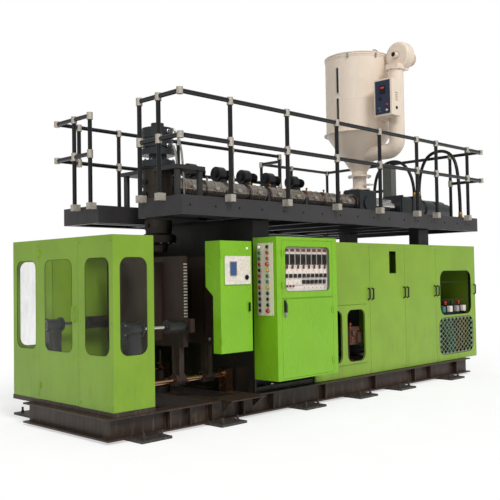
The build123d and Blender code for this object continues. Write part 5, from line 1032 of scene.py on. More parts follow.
@dataclass
class ControlPlate:
    """Push buttons, lamps and selectors on the plate at the cabinet's side."""

    layout: Layout
    columns: Pair = (-60.0, -175.0)
    top: float = 1808.0
    pitch: float = 62.0
    face: float = 1865.0
    height: float = 16.0
    radius: float = 17.0
    stop_rows: tuple[int, int] = (3, 11)
    left: tuple[Knob, ...] = (
        Knob.LAMP, Knob.GO, Knob.GO, Knob.HALT, Knob.SELECT, Knob.HALT, Knob.SELECT, Knob.HALT, Knob.SELECT,
        Knob.SELECT, Knob.SELECT, Knob.SELECT,
    )
    right: tuple[Knob, ...] = (
        Knob.SELECT, Knob.HALT, Knob.HALT, Knob.HALT, Knob.WARN, Knob.GO, Knob.GO, Knob.WARN, Knob.SELECT,
        Knob.SELECT, Knob.SELECT, Knob.HALT,
    )
    bezel: Profile = ((17.4, 0), (22, 0), (22, 4), (19.5, 6.5), (17.4, 6.5))
    stop_ring: Profile = ((16, 0), (25, 0), (25, 2), (23, 3.5), (16, 3.5))
    selector_skirt: Profile = ((-1, -6), (0.6, -4), (0.6, 1), (-2, 3))
    selector_lever: Pair = (7, 25)
    button_skirt: Profile = ((-1, -5), (0.5, -4), (0.5, 3), (-3, 6))
    button_crown: Pair = (2, 7)
    screw: Profile = ((5, 0), (5, 1.2), (3.4, 2.6))
    screw_stations: Pair = (-238.0, -29.0)
    screw_levels: Triple = (1087.0, 1462.0, 1838.0)

    def _skirt(self, profile: Profile) -> list[Pair]:
        """Draws a cap's wall from how far it stands outside the cap's radius."""
        return [(self.radius + out, level) for out, level in profile]

    def _cap(self, shape: Shape, frame: Matrix, kind: Knob) -> None:
        """Adds the cap of one control to a shape."""
        head = lifted(frame, self.height)
        if kind is Knob.SELECT:
            shape.lathe(head, self._skirt(self.selector_skirt))
            shape.prism(head, rounded(self.selector_lever, 3), depth=13, soften=1.5)
        else:
            shape.lathe(head, [*self._skirt(self.button_skirt), self.button_crown])

    def _screws(self) -> None:
        """Adds the plate's screws."""
        screws = Shape()
        for station in self.screw_stations:
            for level in self.screw_levels:
                screws.lathe(self.layout.face(Way.GUARD, self.face, station, level), self.screw, steps=12)
        screws.done("plate_screws", MACHINE, Finish.STEEL, "steel")

    def build(self) -> None:
        """Adds bezels, caps, the steel rings of the two stops and the screws."""
        shapes: dict[Knob, Shape] = {}
        bezels = Shape()
        rings = Shape()
        for column, kinds in zip(self.columns, (self.left, self.right)):
            for row, kind in enumerate(kinds):
                frame = self.layout.face(Way.GUARD, self.face, column, self.top - row * self.pitch)
                if row in self.stop_rows and column == self.columns[1]:
                    rings.lathe(frame, self.stop_ring, steps=28, closed=True)
                    continue
                bezels.lathe(frame, self.bezel, closed=True)
                self._cap(shapes.setdefault(kind, Shape()), frame, kind)
        bezels.done("button_bezels", MACHINE, Finish.STEEL, "steel")
        rings.done("stop_rings", MACHINE, Finish.STEEL, "steel")
        for kind, shape in shapes.items():
            shape.done(f"{kind.name.lower()}_caps", MACHINE, kind.value, "stop_red")
        self._screws()


@dataclass(frozen=True)
class Row:
    """One row of instruments: places are counted from the middle of the cabinet's window."""

    name: str
    count: int
    start: float
    pitch: float
    level: float
    size: Pair
    depth: float
    case: Finish
    face: Finish | None = None
    share: Pair = (0.62, 0.7)


@dataclass
class Instruments:
    """Breakers, meters, toggles and counters behind the cabinet's window."""

    rows: tuple[Row, ...] = (
        Row("breakers", 8, -320, 91, 205, (80, 46), 5, Finish.OFF_WHITE, Finish.RUSSET, (0.8, 0.7)),
        Row("meters", 8, -320, 91, 104, (72, 116), 8, Finish.BLACK, Finish.GRAPHITE),
        Row("toggles", 8, -318, 91, 23, (20, 42), 14, Finish.RUSSET, Finish.BLACK, (0.6, 0.4)),
        Row("counters", 10, -327, 72.6, -73, (48, 44), 8, Finish.BLACK, Finish.GRAPHITE, (0.6, 0.3)),
        Row("timers", 6, -43, 70, -142, (52, 46), 8, Finish.BLACK, Finish.GRAPHITE, (0.6, 0.3)),
        Row("selectors", 3, -316, 50, -184, (22, 22), 12, Finish.RUSSET),
        Row("test_points", 6, -30, 70, -207, (9, 9), 4, Finish.BLACK),
        Row("label_holders", 2, -150, 60, -160, (44, 26), 2, Finish.OFF_WHITE),
    )

    def _row(self, row: Row, centre: Vector, panel: float) -> None:
        """Adds one row.

        Args:
            row: the row.
            centre: the middle of the cabinet's window.
            panel: where the instrument panel's face lies, in metres.
        """
        cases, faces = Shape(), Shape()
        face_size = (row.size[0] * row.share[0], row.size[1] * row.share[1])
        for index in range(row.count):
            x = centre.x + (row.start + index * row.pitch) * MILLIMETRE
            frame = Way.OPERATOR.at(Vector((x, panel, centre.z + row.level * MILLIMETRE)))
            cases.plate(frame, row.size, row.depth)
            if row.face:
                faces.plate(lifted(frame, row.depth), face_size, depth=2, corner=2, soften=0.6)
        cases.done(row.name, MACHINE, row.case, "panel_cream")
        if row.face:
            faces.done(f"{row.name}_faces", MACHINE, row.face, "panel_cream")

    def build(self) -> None:
        """Adds every row."""
        centre = Layout.middle("window_pane")
        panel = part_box("instrument_panel")[0].y
        for row in self.rows:
            self._row(row, centre, panel)


@dataclass
class OperatorStation:
    """Screen, keypad, lamp and lock on the swinging station."""

    layout: Layout
    body: str = "station_door"
    panel_recess: float = 16.0
    bezel_recess: float = 8.0
    bezel_middle: Pair = (1483.5, 1562.5)
    bezel_size: Pair = (371, 295)
    bezel_depth: float = 4.0
    screen_middle: Pair = (1416, 1577)
    screen_size: Pair = (88, 138)
    glass_size: Pair = (86, 136)
    keypad_start: Pair = (1572, 1672)
    keypad_size: tuple[int, int] = (3, 4)
    keypad_pitch: float = 34.0
    keypad_key: Pair = (24, 22)
    bottom_start: Pair = (1352, 1462)
    bottom_count: int = 5
    bottom_pitch: float = 32.0
    bottom_key: Pair = (22, 18)
    dial_middle: Pair = (1607, 1487)
    dial: Profile = ((26, 0), (26, 8), (22, 14), (3, 14))
    lamp_middle: Pair = (1627, 1791)
    lamp: Profile = ((13, 0), (13, 4), (9, 5), (9, 12), (6, 16), (2, 17))
    lock_station: float = 1643.0
    lock_level: float = 1177.0
    lock_size: Pair = (30, 96)
    lock_depth: float = 4.0
    barrel_level: float = 1205.0
    barrel: Profile = ((9, 0), (9, 5), (6, 7), (2, 7))
    lever_level: float = 1160.0
    lever_size: Pair = (10, 52)

    def _frame(self, middle: Pair, station: float) -> Matrix:
        """Returns the frame of a fitting from its place on the front and how deep it lies."""
        return self.layout.face(Way.OPERATOR, middle[0], station, middle[1])

    def _screen(self, bezel: float) -> None:
        """Adds the bezel, with the screen's rim and glass on it.

        Args:
            bezel: the station of the face that the bezel stands on.
        """
        front = bezel - self.bezel_depth
        frame = self._frame(self.bezel_middle, bezel)
        plate = Shape().plate(frame, self.bezel_size, self.bezel_depth, corner=12, soften=2)
        plate.done("screen_bezel", self.body, Finish.OFF_WHITE, "panel_cream")
        frame = self._frame(self.screen_middle, front)
        rim = Shape().rim(frame, self.screen_size, corner=5, width=9, depth=4)
        rim.done("screen_rim", self.body, Finish.GREY, "panel_cream")
        glass = Shape().plate(frame, self.glass_size, depth=1.5, corner=4, soften=0.5)
        glass.done("screen_glass", self.body, Finish.SCREEN, "dark_interior")

    def _keys(self, front: float) -> None:
        """Adds the keypad beside the screen and the row of keys under it.

        Args:
            front: the station of the bezel's front.
        """
        keys = Shape()
        columns, rows = self.keypad_size
        x, z = self.keypad_start
        for column in range(columns):
            for row in range(rows):
                middle = (x + self.keypad_pitch * column, z - self.keypad_pitch * row)
                keys.plate(self._frame(middle, front), self.keypad_key, depth=4, corner=4, soften=1.2)
        x, z = self.bottom_start
        for column in range(self.bottom_count):
            frame = self._frame((x + self.bottom_pitch * column, z), front)
            keys.plate(frame, self.bottom_key, depth=4, corner=4, soften=1.2)
        keys.done("screen_keys", self.body, Finish.CREAM, "panel_cream")

    def _lock(self, front: float) -> None:
        """Adds the lock's plate, barrel and lever.

        Args:
            front: the station of the door's front.
        """
        sunk, raised = front + self.lock_depth / 2, front - self.lock_depth / 2
        plate = self._frame((self.lock_station, self.lock_level), sunk)
        lock = Shape().plate(plate, self.lock_size, self.lock_depth, corner=8, soften=1.5)
        lock.lathe(self._frame((self.lock_station, self.barrel_level), raised), self.barrel, steps=18)
        lever = self._frame((self.lock_station, self.lever_level), raised)
        lock.prism(lever, rounded(self.lever_size, self.lever_size[0] / 2), depth=9, soften=2)
        lock.done("station_lock", self.body, Finish.BLACK, "rail_black")

    def build(self) -> None:
        """Adds the station's fittings."""
        front = self.layout.near("station_door")
        bezel = front + self.bezel_recess
        self._screen(bezel)
        self._keys(bezel - self.bezel_depth)
        dial = Shape().lathe(self._frame(self.dial_middle, bezel - self.bezel_depth), self.dial, steps=28)
        dial.done("screen_dial", self.body, Finish.GRAPHITE, "stop_red")
        lamp = Shape().lathe(self._frame(self.lamp_middle, front + self.panel_recess), self.lamp)
        lamp.done("station_lamp", self.body, Finish.WHITE_LAMP, "stop_red")
        self._lock(front)


@dataclass
class Fasteners:
    """Screws and bolts of the panels, the cabinet, the guard and the platform, and the hatch's latch."""

    layout: Layout
    upper_screws: tuple[float, ...] = (
        2925, 3420, 3837, 3985, 4100, 4440, 4672, 4830, 4914, 5240, 5548, 5640, 5900, 6340, 6670,
    )
    upper_level: float = 1850.0
    lower_screws: tuple[float, ...] = (2925, 3985, 4030, 4770, 4820, 5548, 5600, 6670)
    lower_level: float = 270.0
    panel_screw: float = 7.0
    latch_middle: Pair = (2985, 760)
    latch_size: Pair = (22, 62)
    latch_depth: float = 5.0
    latch_lever: Pair = (9, 46)
    latch_recess: float = 5.3
    cabinet_columns: Pair = (1900, 2850)
    cabinet_levels: tuple[float, ...] = (425, 1245, 1270, 1880)
    cabinet_screw: Profile = ((6, 0), (6, 1.5), (4, 3))
    guard_columns: tuple[float, ...] = (30, 545, 1330, 1806)
    guard_levels: Triple = (330, 1089, 1850)
    guard_bolt: float = 8.0
    edge_bolts: range = range(860, 6540, 340)
    edge_face: float = -93.0
    edge_level: float = 2212.0
    edge_bolt: float = 9.0

    def _latch(self) -> None:
        """Adds the hatch's latch."""
        x, z = self.latch_middle
        back = self.layout.near("hatch_door") + self.latch_recess
        plate = self.layout.face(Way.OPERATOR, x, back, z)
        latch = Shape().plate(plate, self.latch_size, self.latch_depth, corner=6, soften=1.5)
        lever = self.layout.face(Way.OPERATOR, x, back - self.latch_depth, z)
        latch.prism(lever, rounded(self.latch_lever, 4), depth=14, soften=2.5)
        latch.done("hatch_latch", "hatch_door", Finish.BLACK, "rail_black")

    def build(self) -> None:
        """Adds them."""
        face = self.layout.face
        panel = self.layout.near("side_panel_1")
        screws = Shape()
        for stations, level in ((self.upper_screws, self.upper_level), (self.lower_screws, self.lower_level)):
            for x in stations:
                screws.bolt(face(Way.OPERATOR, x, panel, level), self.panel_screw)
        screws.done("panel_screws", MACHINE, Finish.STEEL, "steel")
        self._latch()
        cabinet = self.layout.near("cabinet_shell")
        corners = Shape()
        for x in self.cabinet_columns:
            for z in self.cabinet_levels:
                corners.lathe(face(Way.OPERATOR, x, cabinet, z), self.cabinet_screw, steps=12)
        corners.done("cabinet_screws", MACHINE, Finish.STEEL, "steel")
        guard = Shape()
        for y in self.guard_columns:
            for z in self.guard_levels:
                guard.bolt(face(Way.GUARD, 0, y, z), self.guard_bolt)
        guard.done("guard_bolts", MACHINE, Finish.GUARD_GREEN, "guard_green")
        edge = Shape()
        for x in self.edge_bolts:
            edge.bolt(face(Way.OPERATOR, x, self.edge_face, self.edge_level), self.edge_bolt)
        edge.done("platform_bolts", MACHINE, Finish.DARK_STEEL, "platform_grey")


@dataclass(frozen=True)
class HeadBand:
    """One heater band of the parison head."""

    foot: float
    radius: float
    height: float


@dataclass
class Head:
    """Bolts, heater bands and terminal boxes of the parison head, with its ram's ports and pipes."""

    layout: Layout
    station: float = 1305.0
    axis: float = 970.0
    bolt_count: int = 12
    flange_level: float = 2800.0
    flange_radius: float = 181.0
    foot_level: float = 1886.0
    foot_radius: float = 172.0
    band_thickness: float = 7.0
    bands: tuple[HeadBand, ...] = (
        HeadBand(1905, 191, 55), HeadBand(2030, 146, 95), HeadBand(2230, 169, 95), HeadBand(2370, 169, 95),
        HeadBand(2510, 169, 95),
    )
    box_width: float = 50.0
    box_share: float = 0.5
    box_depth: float = 24.0
    box_lap: float = 1.0
    port_levels: Pair = (2960, 3120)
    port_out: float = 160.0
    port: Profile = ((24, 0), (24, 36), (18, 40), (18, 60), (6, 60))
    pipe_radius: float = 12.0
    pipes: tuple[tuple[Triple, ...], ...] = (
        ((1305, 760, 2960), (1305, 700, 2955), (1345, 690, 2800), (1380, 700, 2420), (1380, 700, 2212)),
        ((1305, 760, 3120), (1305, 680, 3115), (1390, 660, 2900), (1440, 680, 2420), (1440, 680, 2212)),
    )

    def _bolts(self) -> None:
        """Adds the bolts of the upper flange and of the foot."""
        bolts = Shape()
        flange = (self.station, self.axis, self.flange_level)
        foot = (self.station, self.axis, self.foot_level)
        for frame in self.layout.ring(Way.UP, flange, self.flange_radius, self.bolt_count):
            bolts.bolt(frame, radius=11, height=14)
        for frame in self.layout.ring(Way.DOWN, foot, self.foot_radius, self.bolt_count):
            bolts.bolt(frame, radius=10, height=12)
        bolts.done("head_bolts", MACHINE, Finish.STEEL, "steel")

    def _bands(self) -> None:
        """Adds the heater bands and a terminal box on each."""
        bands, boxes = Shape(), Shape()
        for band in self.bands:
            frame = self.layout.face(Way.UP, self.station, self.axis, band.foot)
            bands.band(frame, band.radius, band.radius + self.band_thickness, band.height, steps=48)
            side = self.station - band.radius - self.band_thickness + self.box_lap
            clamp = self.layout.face(Way.GUARD, side, self.axis, band.foot + band.height / 2)
            size = (self.box_width, band.height * self.box_share)
            boxes.plate(clamp, size, self.box_depth, corner=5, soften=3)
        bands.done("head_heater_bands", MACHINE, Finish.DARK_STEEL, "steel")
        boxes.done("head_terminal_boxes", MACHINE, Finish.DARK_STEEL, "steel")

    def build(self) -> None:
        """Adds the head's fittings."""
        self._bolts()
        self._bands()
        ports = Shape()
        for level in self.port_levels:
            frame = self.layout.face(Way.OPERATOR, self.station, self.axis - self.port_out, level)
            ports.lathe(frame, self.port, steps=18)
        ports.done("ram_ports", MACHINE, Finish.STEEL, "steel")
        lines = Shape()
        for route in self.pipes:
            lines.pipe([self.layout.at(*station) for station in route], self.pipe_radius)
        lines.done("ram_pipes", MACHINE, Finish.STEEL, "steel")


@dataclass
class Extruder:
    """Fittings of the barrel and its blowers, and the covers of the drive's terminal box."""

    layout: Layout
    axis: float = 970.0
    height: float = 2530.0
    radius: float = 112.0
    band_count: int = 9
    band_length: float = 290.0
    strap_shifts: Triple = (28, 145, 262)
    strap_width: float = 18.0
    strap_thickness: float = 4.0
    box_size: Pair = (58, 40)
    box_depth: float = 26.0
    box_gap: float = 2.0
    box_rise: float = 10.0
    sensor_shift: float = 90.0
    sensor: Profile = ((11, 0), (11, 26), (15, 26), (15, 40), (4, 44))
    cover_middle: Triple = (5948, 1057.5, 2926)
    cover_faces: Triple = (5875.5, 985, 3162)
    cover_size: Pair = (139, 460)
    blowers: tuple[float, ...] = (1985, 2447, 2894, 3346, 3826)
    blower_out: float = 230.0
    blower_level: float = 2775.0
    inlet_shift: float = -73.0
    motor_shift: float = 75.0
    guard_rings: Triple = (20, 34, 48)
    guard_wire: float = 2.5
    guard_depth: float = 3.0
    rib_count: int = 7
    rib_pitch: float = 16.0
    rib_radii: Pair = (57, 63)
    rib_width: float = 4.0

    def _barrel(self) -> None:
        """Adds straps, a terminal box and a sensor to every heater band."""
        face = self.layout.face
        low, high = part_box("heater_bands")
        span = (high.x - low.x) / MILLIMETRE
        first = (low.x - self.layout.origin.x) / MILLIMETRE
        pitch = (span - self.band_length) / (self.band_count - 1)
        outer = self.radius + self.strap_thickness
        straps, boxes, sensors = Shape(), Shape(), Shape()
        for index in range(self.band_count):
            x = first + index * pitch
            for shift in self.strap_shifts:
                frame = face(Way.DRIVE, x + shift - self.strap_width / 2, self.axis, self.height)
                straps.band(frame, self.radius, outer, self.strap_width, steps=40)
            side = self.axis - self.radius - self.box_gap
            box = face(Way.OPERATOR, x + self.band_length / 2, side, self.height + self.box_rise)
            boxes.plate(box, self.box_size, self.box_depth, corner=6, soften=3)
            sensor = face(Way.UP, x + self.sensor_shift, self.axis, self.height + self.radius)
            sensors.lathe(sensor, self.sensor, steps=16)
        straps.done("barrel_straps", MACHINE, Finish.STEEL, "steel")
        boxes.done("barrel_terminal_boxes", MACHINE, Finish.ZINC, "steel")
        sensors.done("barrel_sensors", MACHINE, Finish.BRASS, "steel")

    def _covers(self) -> None:
        """Adds the covers of the drive's terminal box."""
        face = self.layout.face
        x, y, z = self.cover_middle
        end, near, top = self.cover_faces
        width = self.cover_size[0]
        cover = Shape()
        cover.plate(face(Way.OPERATOR, x, near, z), self.cover_size, depth=5, corner=6, soften=1.5)
        cover.plate(face(Way.GUARD, end, y, z), self.cover_size, depth=5, corner=6, soften=1.5)
        cover.plate(face(Way.UP, x, y, top), (width, width), depth=4, corner=6, soften=1.5)
        cover.done("terminal_box_covers", MACHINE, Finish.BOX_GREY, "drive_slate")

    def _blower_guards(self) -> None:
        """Adds each blower's inlet rings and the ribs of its motor."""
        guards = Shape()
        y = self.axis + self.blower_out
        for station in self.blowers:
            inlet = self.layout.face(Way.GUARD, station + self.inlet_shift, y, self.blower_level)
            for ring in self.guard_rings:
                guards.band(inlet, ring, ring + self.guard_wire, self.guard_depth, steps=28)
            motor = self.layout.face(Way.DRIVE, station + self.motor_shift, y, self.blower_level)
            for rib in range(self.rib_count):
                guards.band(lifted(motor, rib * self.rib_pitch), *self.rib_radii, self.rib_width, steps=28)
        guards.done("blower_guards", MACHINE, Finish.GRAPHITE, "blower_grey")

    def build(self) -> None:
        """Adds the barrel's fittings."""
        self._barrel()
        self._covers()
        self._blower_guards()


@dataclass(frozen=True)
class Collar:
    """A bead round the hopper: its level, how far it stands out, and its foot and head about that level."""

    level: float
    proud: float
    foot: float = 0.0
    head: float = 16.0


@dataclass
class HopperDryer:
    """Latches, handle, bolts and switches of the hopper and its dryer."""

    layout: Layout
    station: float = 5060.0
    axis: float = 970.0
    radius: float = 470.0
    collars: tuple[Collar, ...] = (
        Collar(3600, 2), Collar(3990, 2), Collar(4600, 4), Collar(4636, 7, foot=-14, head=12),
    )
    bead_lap: float = 0.2
    bead_slope: float = 2.0
    cone_bolts: Pair = (488, 3544)
    throat_foot: Pair = (128, 2748)
    throat_head: Pair = (152, 2919)
    latch_angles: Triple = (200, 250, 320)
    latch_level: float = 4610.0
    latch_size: Pair = (26, 66)
    latch_gap: float = 3.0
    sight_levels: tuple[Pair, ...] = ((3645, 4030), (4085, 4470))
    sight_width: float = 30.0
    sight_margin: float = 30.0
    sight_gap: float = 6.0
    handle_out: float = 330.0
    handle_radius: float = 8.0
    handle: Profile = ((4990, 4664), (4992, 4710), (5025, 4734), (5095, 4734), (5128, 4710), (5130, 4664))
    duct: Pair = (5020.0, 275.0)
    duct_bolts: float = 121.0
    flange: float = 4362.0
    blower: float = 4580.0
    fin_count: int = 9
    fin_start: float = 228.0
    fin_pitch: float = 17.0
    fin_radii: Pair = (95.5, 104)
    fin_width: float = 5.0
    fan_cover: Profile = ((60, 0), (150, 0), (150, 4), (60, 8))
    fan_shift: float = 30.0
    fan_bolts: float = 135.0
    fan_bolt_shift: float = 26.0
    inlet_shift: float = -46.0
    inlet: Profile = ((33.5, 0), (33.5, 2), (20, 3))
    box_recess: float = 14.0
    box_plate: Pair = (246, 466)
    case_proud: float = 2.0
    display_rise: float = 105.0
    display_case: Pair = (96, 118)
    meter_place: Pair = (40, -20)
    meter_case: Pair = (44, 44)
    digit_proud: float = 7.0
    digit_rise: float = 130.0
    digit_window: Pair = (58, 22)
    vent: Pair = (60, 7)
    vent_count: int = 5
    vent_pitch: float = 26.0
    vent_shift: float = 120.0
    vent_rise: float = 60.0
    side_knob_drop: float = 150.0
    side_knob: Profile = ((22, 0), (22, 6), (15, 8), (2, 8))
    switch: Profile = ((14.5, 0), (14.5, 6), (11, 9), (2, 9))
    switch_proud: float = 8.0
    switch_level: float = 3673.0
    switches: tuple[tuple[Finish, Pair], ...] = (
        (Finish.RED, (150, -70)), (Finish.GREEN, (110, 60)),
        (Finish.OFF_WHITE, (70, -70)), (Finish.BLACK, (70, 60)),
    )

    def _collars(self) -> None:
        """Adds the beads round the hopper and its rim."""
        shape = Shape()
        inner = self.radius - self.bead_lap
        for collar in self.collars:
            frame = self.layout.face(Way.UP, self.station, self.axis, collar.level)
            outer = self.radius + collar.proud
            foot, head, slope = collar.foot, collar.head, self.bead_slope
            profile = ((inner, foot), (outer, foot + slope), (outer, head - slope), (inner, head))
            shape.lathe(frame, profile, steps=72, closed=True)
        shape.done("hopper_bands", MACHINE, Finish.IVORY, "hopper_ivory")

    def _bolts(self) -> None:
        """Adds the bolts of the cone, the throat and the duct."""
        ring = self.layout.ring
        bolts = Shape()
        cone_radius, cone_level = self.cone_bolts
        for frame in ring(Way.UP, (self.station, self.axis, cone_level), cone_radius, 20):
            bolts.bolt(frame, radius=8)
        for way, (radius, level) in ((Way.UP, self.throat_foot), (Way.DOWN, self.throat_head)):
            for frame in ring(way, (self.station, self.axis, level), radius, 8, first=0.5):
                bolts.bolt(frame, radius=9)
        for frame in ring(Way.DOWN, (*self.duct, self.flange), self.duct_bolts, 6):
            bolts.bolt(frame, radius=7)
        bolts.done("hopper_bolts", MACHINE, Finish.STEEL, "steel")

    def _latches(self) -> None:
        """Adds the lid's latches, each square to the hopper's wall."""
        latches = Shape()
        hub = self.layout.at(self.station, self.axis, self.latch_level)
        up = Vector((0, 0, 1))
        for angle in self.latch_angles:
            turn = math.radians(angle)
            out = Vector((math.cos(turn), math.sin(turn), 0))
            frame = Matrix((up.cross(out), up, out)).transposed().to_4x4()
            place = Matrix.Translation(hub + out * (self.radius + self.latch_gap) * MILLIMETRE)
            latches.plate(place @ frame, self.latch_size, depth=12, corner=4, soften=2)
        latches.done("lid_latches", MACHINE, Finish.STEEL, "steel")

    def _sights(self) -> None:
        """Adds the hopper's two sight glasses."""
        glass, frames = Shape(), Shape()
        for low, high in self.sight_levels:
            wall = self.station - self.radius - self.sight_gap
            frame = self.layout.face(Way.GUARD, wall, self.axis, (low + high) / 2)
            size = (self.sight_width, high - low - self.sight_margin)
            glass.plate(frame, size, depth=1.5, corner=10, soften=0.5)
            frames.rim(frame, size, corner=10, width=9, depth=5)
        glass.done("sight_glasses", MACHINE, Finish.BLACK, "pane")
        frames.done("sight_frames", MACHINE, Finish.STEEL, "steel")

    def _handle(self) -> None:
        """Adds the lid's lifting handle."""
        y = self.axis - self.handle_out
        handle = Shape().pipe([self.layout.at(x, y, z) for x, z in self.handle], self.handle_radius)
        handle.done("lid_handle", "hopper_lid", Finish.STEEL, "steel")

    def _box(self) -> None:
        """Adds the control box's plate, display, vents, side knob and switches."""
        face = self.layout.face
        low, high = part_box("dryer_box")
        origin = self.layout.origin
        x = (low.x - origin.x) / MILLIMETRE + self.box_recess
        y = ((low.y + high.y) / 2 - origin.y) / MILLIMETRE
        z = (low.z + high.z) / 2 / MILLIMETRE
        plate = Shape().plate(face(Way.GUARD, x, y, z), self.box_plate, depth=2, corner=6, soften=1)
        plate.done("dryer_plate", MACHINE, Finish.NAVY, "dark_interior")
        lights = Shape()
        display = face(Way.GUARD, x - self.case_proud, y, z + self.display_rise)
        lights.plate(display, self.display_case, depth=5, corner=6, soften=2)
        across, up = self.meter_place
        meter = face(Way.GUARD, x - self.case_proud, y + across, z + up)
        lights.plate(meter, self.meter_case, depth=5, corner=4, soften=2)
        lights.done("dryer_display_case", MACHINE, Finish.BLACK, "rail_black")
        window = face(Way.GUARD, x - self.digit_proud, y, z + self.digit_rise)
        digits = Shape().plate(window, self.digit_window, depth=1, corner=3, soften=0.4)
        digits.done("dryer_digits", MACHINE, Finish.RED_DIGITS, "stop_red")
        vents = Shape()
        near = self.layout.near("dryer_box")
        side = x + self.vent_shift
        for step in range(self.vent_count):
            vent = face(Way.OPERATOR, side, near, z + self.vent_rise - step * self.vent_pitch)
            vents.plate(vent, self.vent, depth=1, corner=3, soften=0.3)
        vents.lathe(face(Way.OPERATOR, side, near, z - self.side_knob_drop), self.side_knob, steps=20)
        vents.done("dryer_box_vents", MACHINE, Finish.GRAPHITE, "dark_interior")
        for finish, (up, across) in self.switches:
            frame = face(Way.GUARD, x - self.switch_proud, y + across, self.switch_level + up)
            switch = Shape().lathe(frame, self.switch, steps=22)
            switch.done(f"dryer_{finish.name.lower()}_switch", MACHINE, finish, "stop_red")

    def _blower(self) -> None:
        """Adds the blower's motor fins, fan cover and inlet mesh."""
        face = self.layout.face
        x, y = self.duct
        z = self.blower
        fins = Shape()
        for fin in range(self.fin_count):
            frame = face(Way.DRIVE, x + self.fin_start + fin * self.fin_pitch, y, z)
            fins.band(frame, *self.fin_radii, self.fin_width, steps=36)
        fins.done("dryer_motor_fins", MACHINE, Finish.IVORY, "hopper_ivory")
        rings = face(Way.GUARD, x + self.fan_shift, y, z)
        cover = Shape().lathe(rings, self.fan_cover, steps=48, closed=True)
        for frame in self.layout.ring(Way.GUARD, (x + self.fan_bolt_shift, y, z), self.fan_bolts, 8):
            cover.bolt(frame, radius=6)
        cover.done("dryer_fan_cover", MACHINE, Finish.IVORY, "hopper_ivory")
        mouth = Shape().lathe(face(Way.GUARD, x + self.inlet_shift, y, z), self.inlet)
        mouth.done("dryer_inlet_mesh", MACHINE, Finish.BLACK, "dark_interior")

    def build(self) -> None:
        """Adds the fittings of the hopper and the dryer."""
        self._collars()
        self._bolts()
        self._latches()
        self._sights()
        self._handle()
        self._box()
        self._blower()


@dataclass
class ClampArea:
    """Rack strip, slots and bolts of the platens, and the bolts of the clamp cylinders."""

    layout: Layout
    rack_place: Pair = (1105, 290)
    rack_foot: float = 1090.0
    rack_pitch: float = 32.0
    rack_count: int = 18
    tooth: Pair = (44, 16)
    front_face: float = 1135.0
    rear_face: float = 1475.0
    slot_columns: tuple[float, ...] = (420, 640, 860, 1080, 1300, 1520)
    slot_level: float = 1250.0
    slot_size: Pair = (16, 700)
    bolt_columns: tuple[float, ...] = (330, 750, 1190, 1610)
    bolt_levels: Pair = (830, 1660)
    cylinder_columns: Pair = (250, 1690)
    cylinder_ends: Pair = (285, 498)
    cylinder_level: float = 1000.0
    gland_radius: float = 64.0

    def _platen(self, name: str, station: float, way: Way) -> None:
        """Adds one platen's slots and bolts.

        Args:
            name: the platen's node, which is its body's name too.
            station: where its mould face lies.
            way: the way that the face looks.
        """
        slots, bolts = Shape(), Shape()
        for y in self.slot_columns:
            frame = self.layout.face(way, station, y, self.slot_level)
            slots.rim(frame, self.slot_size, corner=6, width=7, depth=3)
        slots.done(f"{name}_slots", name, Finish.DARK_STEEL, "platen_brown")
        for y in self.bolt_columns:
            for z in self.bolt_levels:
                bolts.bolt(self.layout.face(way, station, y, z), radius=16, height=14)
        bolts.done(f"{name}_bolts", name, Finish.STEEL, "steel")

    def build(self) -> None:
        """Adds the clamp's fittings."""
        rack = Shape()
        x, y = self.rack_place
        for step in range(self.rack_count):
            frame = self.layout.face(Way.OPERATOR, x, y, self.rack_foot + step * self.rack_pitch)
            rack.prism(frame, rounded(self.tooth, 3), depth=12, soften=3)
        rack.done("platen_rack", "front_platen", Finish.ZINC, "steel")
        self._platen("front_platen", self.front_face, Way.DRIVE)
        self._platen("rear_platen", self.rear_face, Way.GUARD)
        glands = Shape()
        for y in self.cylinder_columns:
            for x, way in zip(self.cylinder_ends, (Way.GUARD, Way.DRIVE)):
                end = (x, y, self.cylinder_level)
                for frame in self.layout.ring(way, end, self.gland_radius, 4, first=0.5):
                    glands.bolt(frame, radius=7, height=8)
        glands.done("cylinder_bolts", MACHINE, Finish.STEEL, "steel")


@dataclass(frozen=True)
class Slab:
    """One block of the valve behind the hatch: the middle of its back, its size, and how it is rounded."""

    back: Triple
    size: Pair
    depth: float
    corner: float
    soften: float


